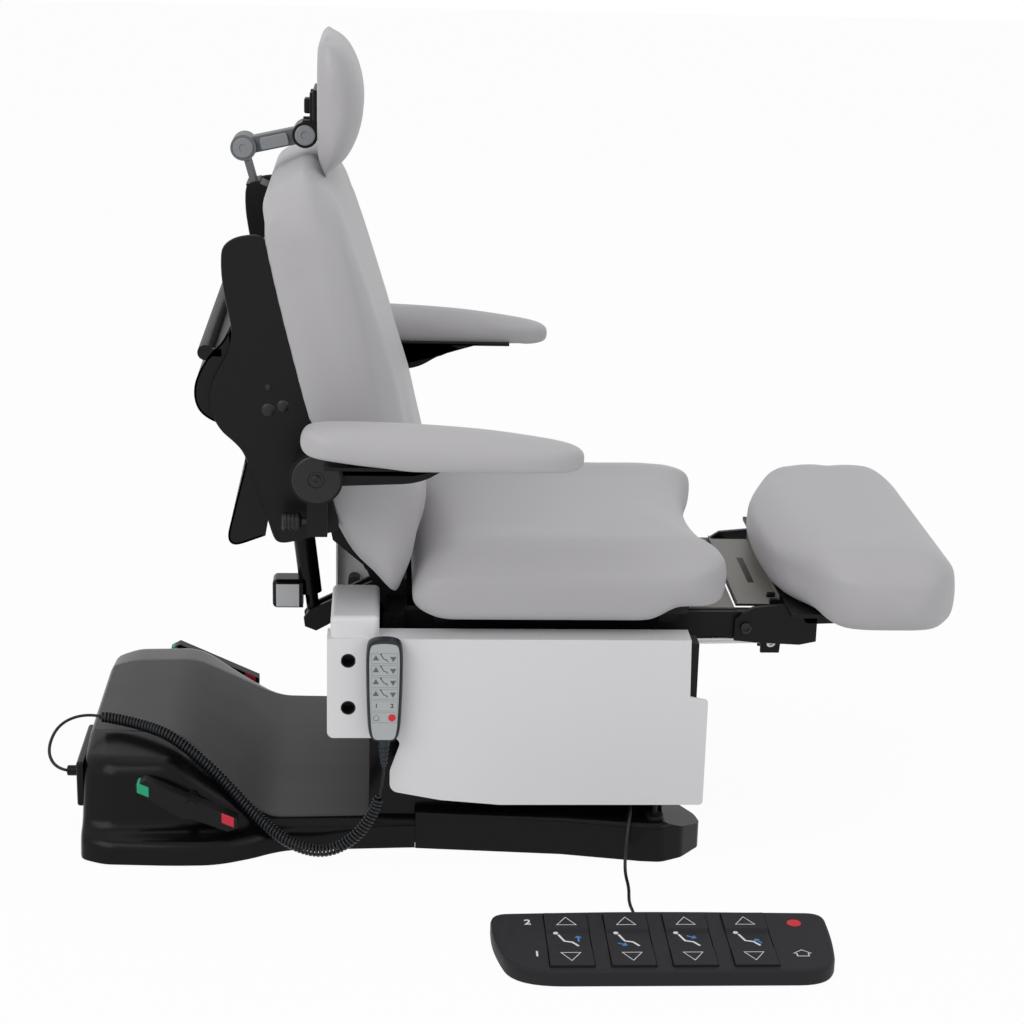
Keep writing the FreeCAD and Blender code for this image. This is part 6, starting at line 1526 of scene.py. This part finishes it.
class CHAIR_OT_stage(bpy.types.Operator):
    """Sets the floor, the lamps, the sky and the camera"""

    bl_idname = "chair.stage"
    bl_label = "Stage"

    def execute(self, context):
        stage = settings().stage
        scene = context.scene
        scene.view_settings.view_transform = "Standard"
        pick()
        bpy.ops.mesh.primitive_plane_add(size=30.0)
        floor = added("studio_floor")
        floor.data.materials.append(floor_paint(stage.floor))
        sky_light(scene, stage.sky)
        aim = Vector((0.0, 0.0, 0.5))
        for name, power, size, place in (
            ("key_lamp", stage.key, 2.6, (-2.4, -2.6, 3.0)),
            ("fill_lamp", stage.fill, 2.2, (2.8, -2.2, 2.0)),
            ("top_lamp", stage.top, 3.0, (0.3, 0.6, 3.6)),
        ):
            lamp = bpy.data.lights.new(name, "AREA")
            lamp.energy = power
            lamp.size = size
            obj = bpy.data.objects.new(name, lamp)
            obj.location = place
            obj.rotation_euler = (aim - Vector(place)).to_track_quat("-Z", "Y").to_euler()
            scene.collection.objects.link(obj)
        camera = bpy.data.objects.new("photo_camera", bpy.data.cameras.new("photo_camera"))
        camera.data.lens = stage.lens
        camera.data.sensor_width = 36.0
        camera.matrix_world = camera_place(stage)
        scene.collection.objects.link(camera)
        scene.camera = camera
        return {"FINISHED"}


def camera_place(stage):
    """The camera's place and aim from its yaw, pitch and roll."""
    yaw, pitch, roll = stage.yaw, stage.pitch, stage.roll
    forward = Vector((math.sin(yaw) * math.cos(pitch), math.cos(yaw) * math.cos(pitch), -math.sin(pitch)))
    level = Vector((math.cos(yaw), -math.sin(yaw), 0.0))
    upright = level.cross(forward)
    right = level * math.cos(roll) + upright * math.sin(roll)
    up = upright * math.cos(roll) - level * math.sin(roll)
    return Matrix.Translation(stage.eye) @ Matrix((right, up, -forward)).transposed().to_4x4()


def seen_rays(tree):
    """1 for rays that show the background itself: straight from the camera, reflected or through glass."""
    path = add_node(tree, "ShaderNodeLightPath")
    some = add_node(tree, "ShaderNodeMath", {"operation": "MAXIMUM"}, {
        "Value": path.outputs["Is Camera Ray"], "Value_001": path.outputs["Is Glossy Ray"]})
    return add_node(tree, "ShaderNodeMath", {"operation": "MAXIMUM"}, {
        "Value": some.outputs[0], "Value_001": path.outputs["Is Transmission Ray"]}).outputs[0]


FLOOR_GLOW_SHARE = 0.96


def floor_paint(tone):
    """Pale matt floor paint: mostly white to the eye, and it still takes the chair's soft shadow."""
    material = bpy.data.materials.new("pale_floor_paint")
    material.use_nodes = True
    tree = material.node_tree
    tree.nodes.clear()
    glow = add_node(tree, "ShaderNodeEmission", inputs={"Color": (1, 1, 1, 1), "Strength": 1.0})
    paint = add_node(tree, "ShaderNodeBsdfDiffuse", inputs={"Color": tone})
    share = add_node(tree, "ShaderNodeMath", {"operation": "MULTIPLY"}, {
        "Value": seen_rays(tree), "Value_001": FLOOR_GLOW_SHARE})
    mix = add_node(tree, "ShaderNodeMixShader", inputs={
        "Fac": share.outputs[0], "Shader": paint.outputs[0], "Shader_001": glow.outputs[0]})
    add_node(tree, "ShaderNodeOutputMaterial", inputs={"Surface": mix.outputs[0]})
    return material


def sky_light(scene, strength):
    """An even white sky: full white where it is seen, and a plain level where it lights the chair."""
    world = bpy.data.worlds.new("studio_sky")
    scene.world = world
    world.use_nodes = True
    tree = world.node_tree
    tree.nodes.clear()
    level = add_node(tree, "ShaderNodeMapRange", inputs={
        "Value": seen_rays(tree), "To Min": strength, "To Max": 1.0})
    sky = add_node(tree, "ShaderNodeBackground", inputs={
        "Color": (1, 1, 1, 1), "Strength": level.outputs["Result"]})
    add_node(tree, "ShaderNodeOutputWorld", inputs={"Surface": sky.outputs[0]})


OPERATORS = (
    CHAIR_OT_stage, CHAIR_OT_cords, CHAIR_OT_seat_pad, CHAIR_OT_leg_pad, CHAIR_OT_back_pad, CHAIR_OT_head_pad,
    CHAIR_OT_arm_pads, CHAIR_OT_base, CHAIR_OT_rolling_gear, CHAIR_OT_foot_control, CHAIR_OT_carriage,
    CHAIR_OT_handset, CHAIR_OT_seat_frame, CHAIR_OT_back_frame, CHAIR_OT_headrest, CHAIR_OT_arms,
    CHAIR_OT_drives,
)


class CHAIR_PT_dressing(bpy.types.Panel):
    """Lists what can be dressed"""

    bl_idname = "CHAIR_PT_dressing"
    bl_label = "Examination Chair"
    bl_space_type = "VIEW_3D"
    bl_region_type = "UI"
    bl_category = "Exam Chair"

    def draw(self, context):
        for operator in OPERATORS:
            self.layout.operator(operator.bl_idname)


CLASSES = (
    ChairColours, ChairUpholstery, ChairCords, ChairStage, ChairSettings, *OPERATORS, CHAIR_PT_dressing,
)


def register():
    """Registers the classes and the scene's settings."""
    for cls in CLASSES:
        bpy.utils.register_class(cls)
    bpy.types.Scene.exam_chair = bpy.props.PointerProperty(type=ChairSettings)


def unregister():
    """Takes the settings and the classes out again."""
    del bpy.types.Scene.exam_chair
    for cls in reversed(CLASSES):
        bpy.utils.unregister_class(cls)


def main():
    """Dresses the whole chair."""
    register()
    for operator in OPERATORS:
        group, name = operator.bl_idname.split(".")
        getattr(getattr(bpy.ops, group), name)()
    bpy.context.view_layer.update()


if __name__ == "__main__":
    main()
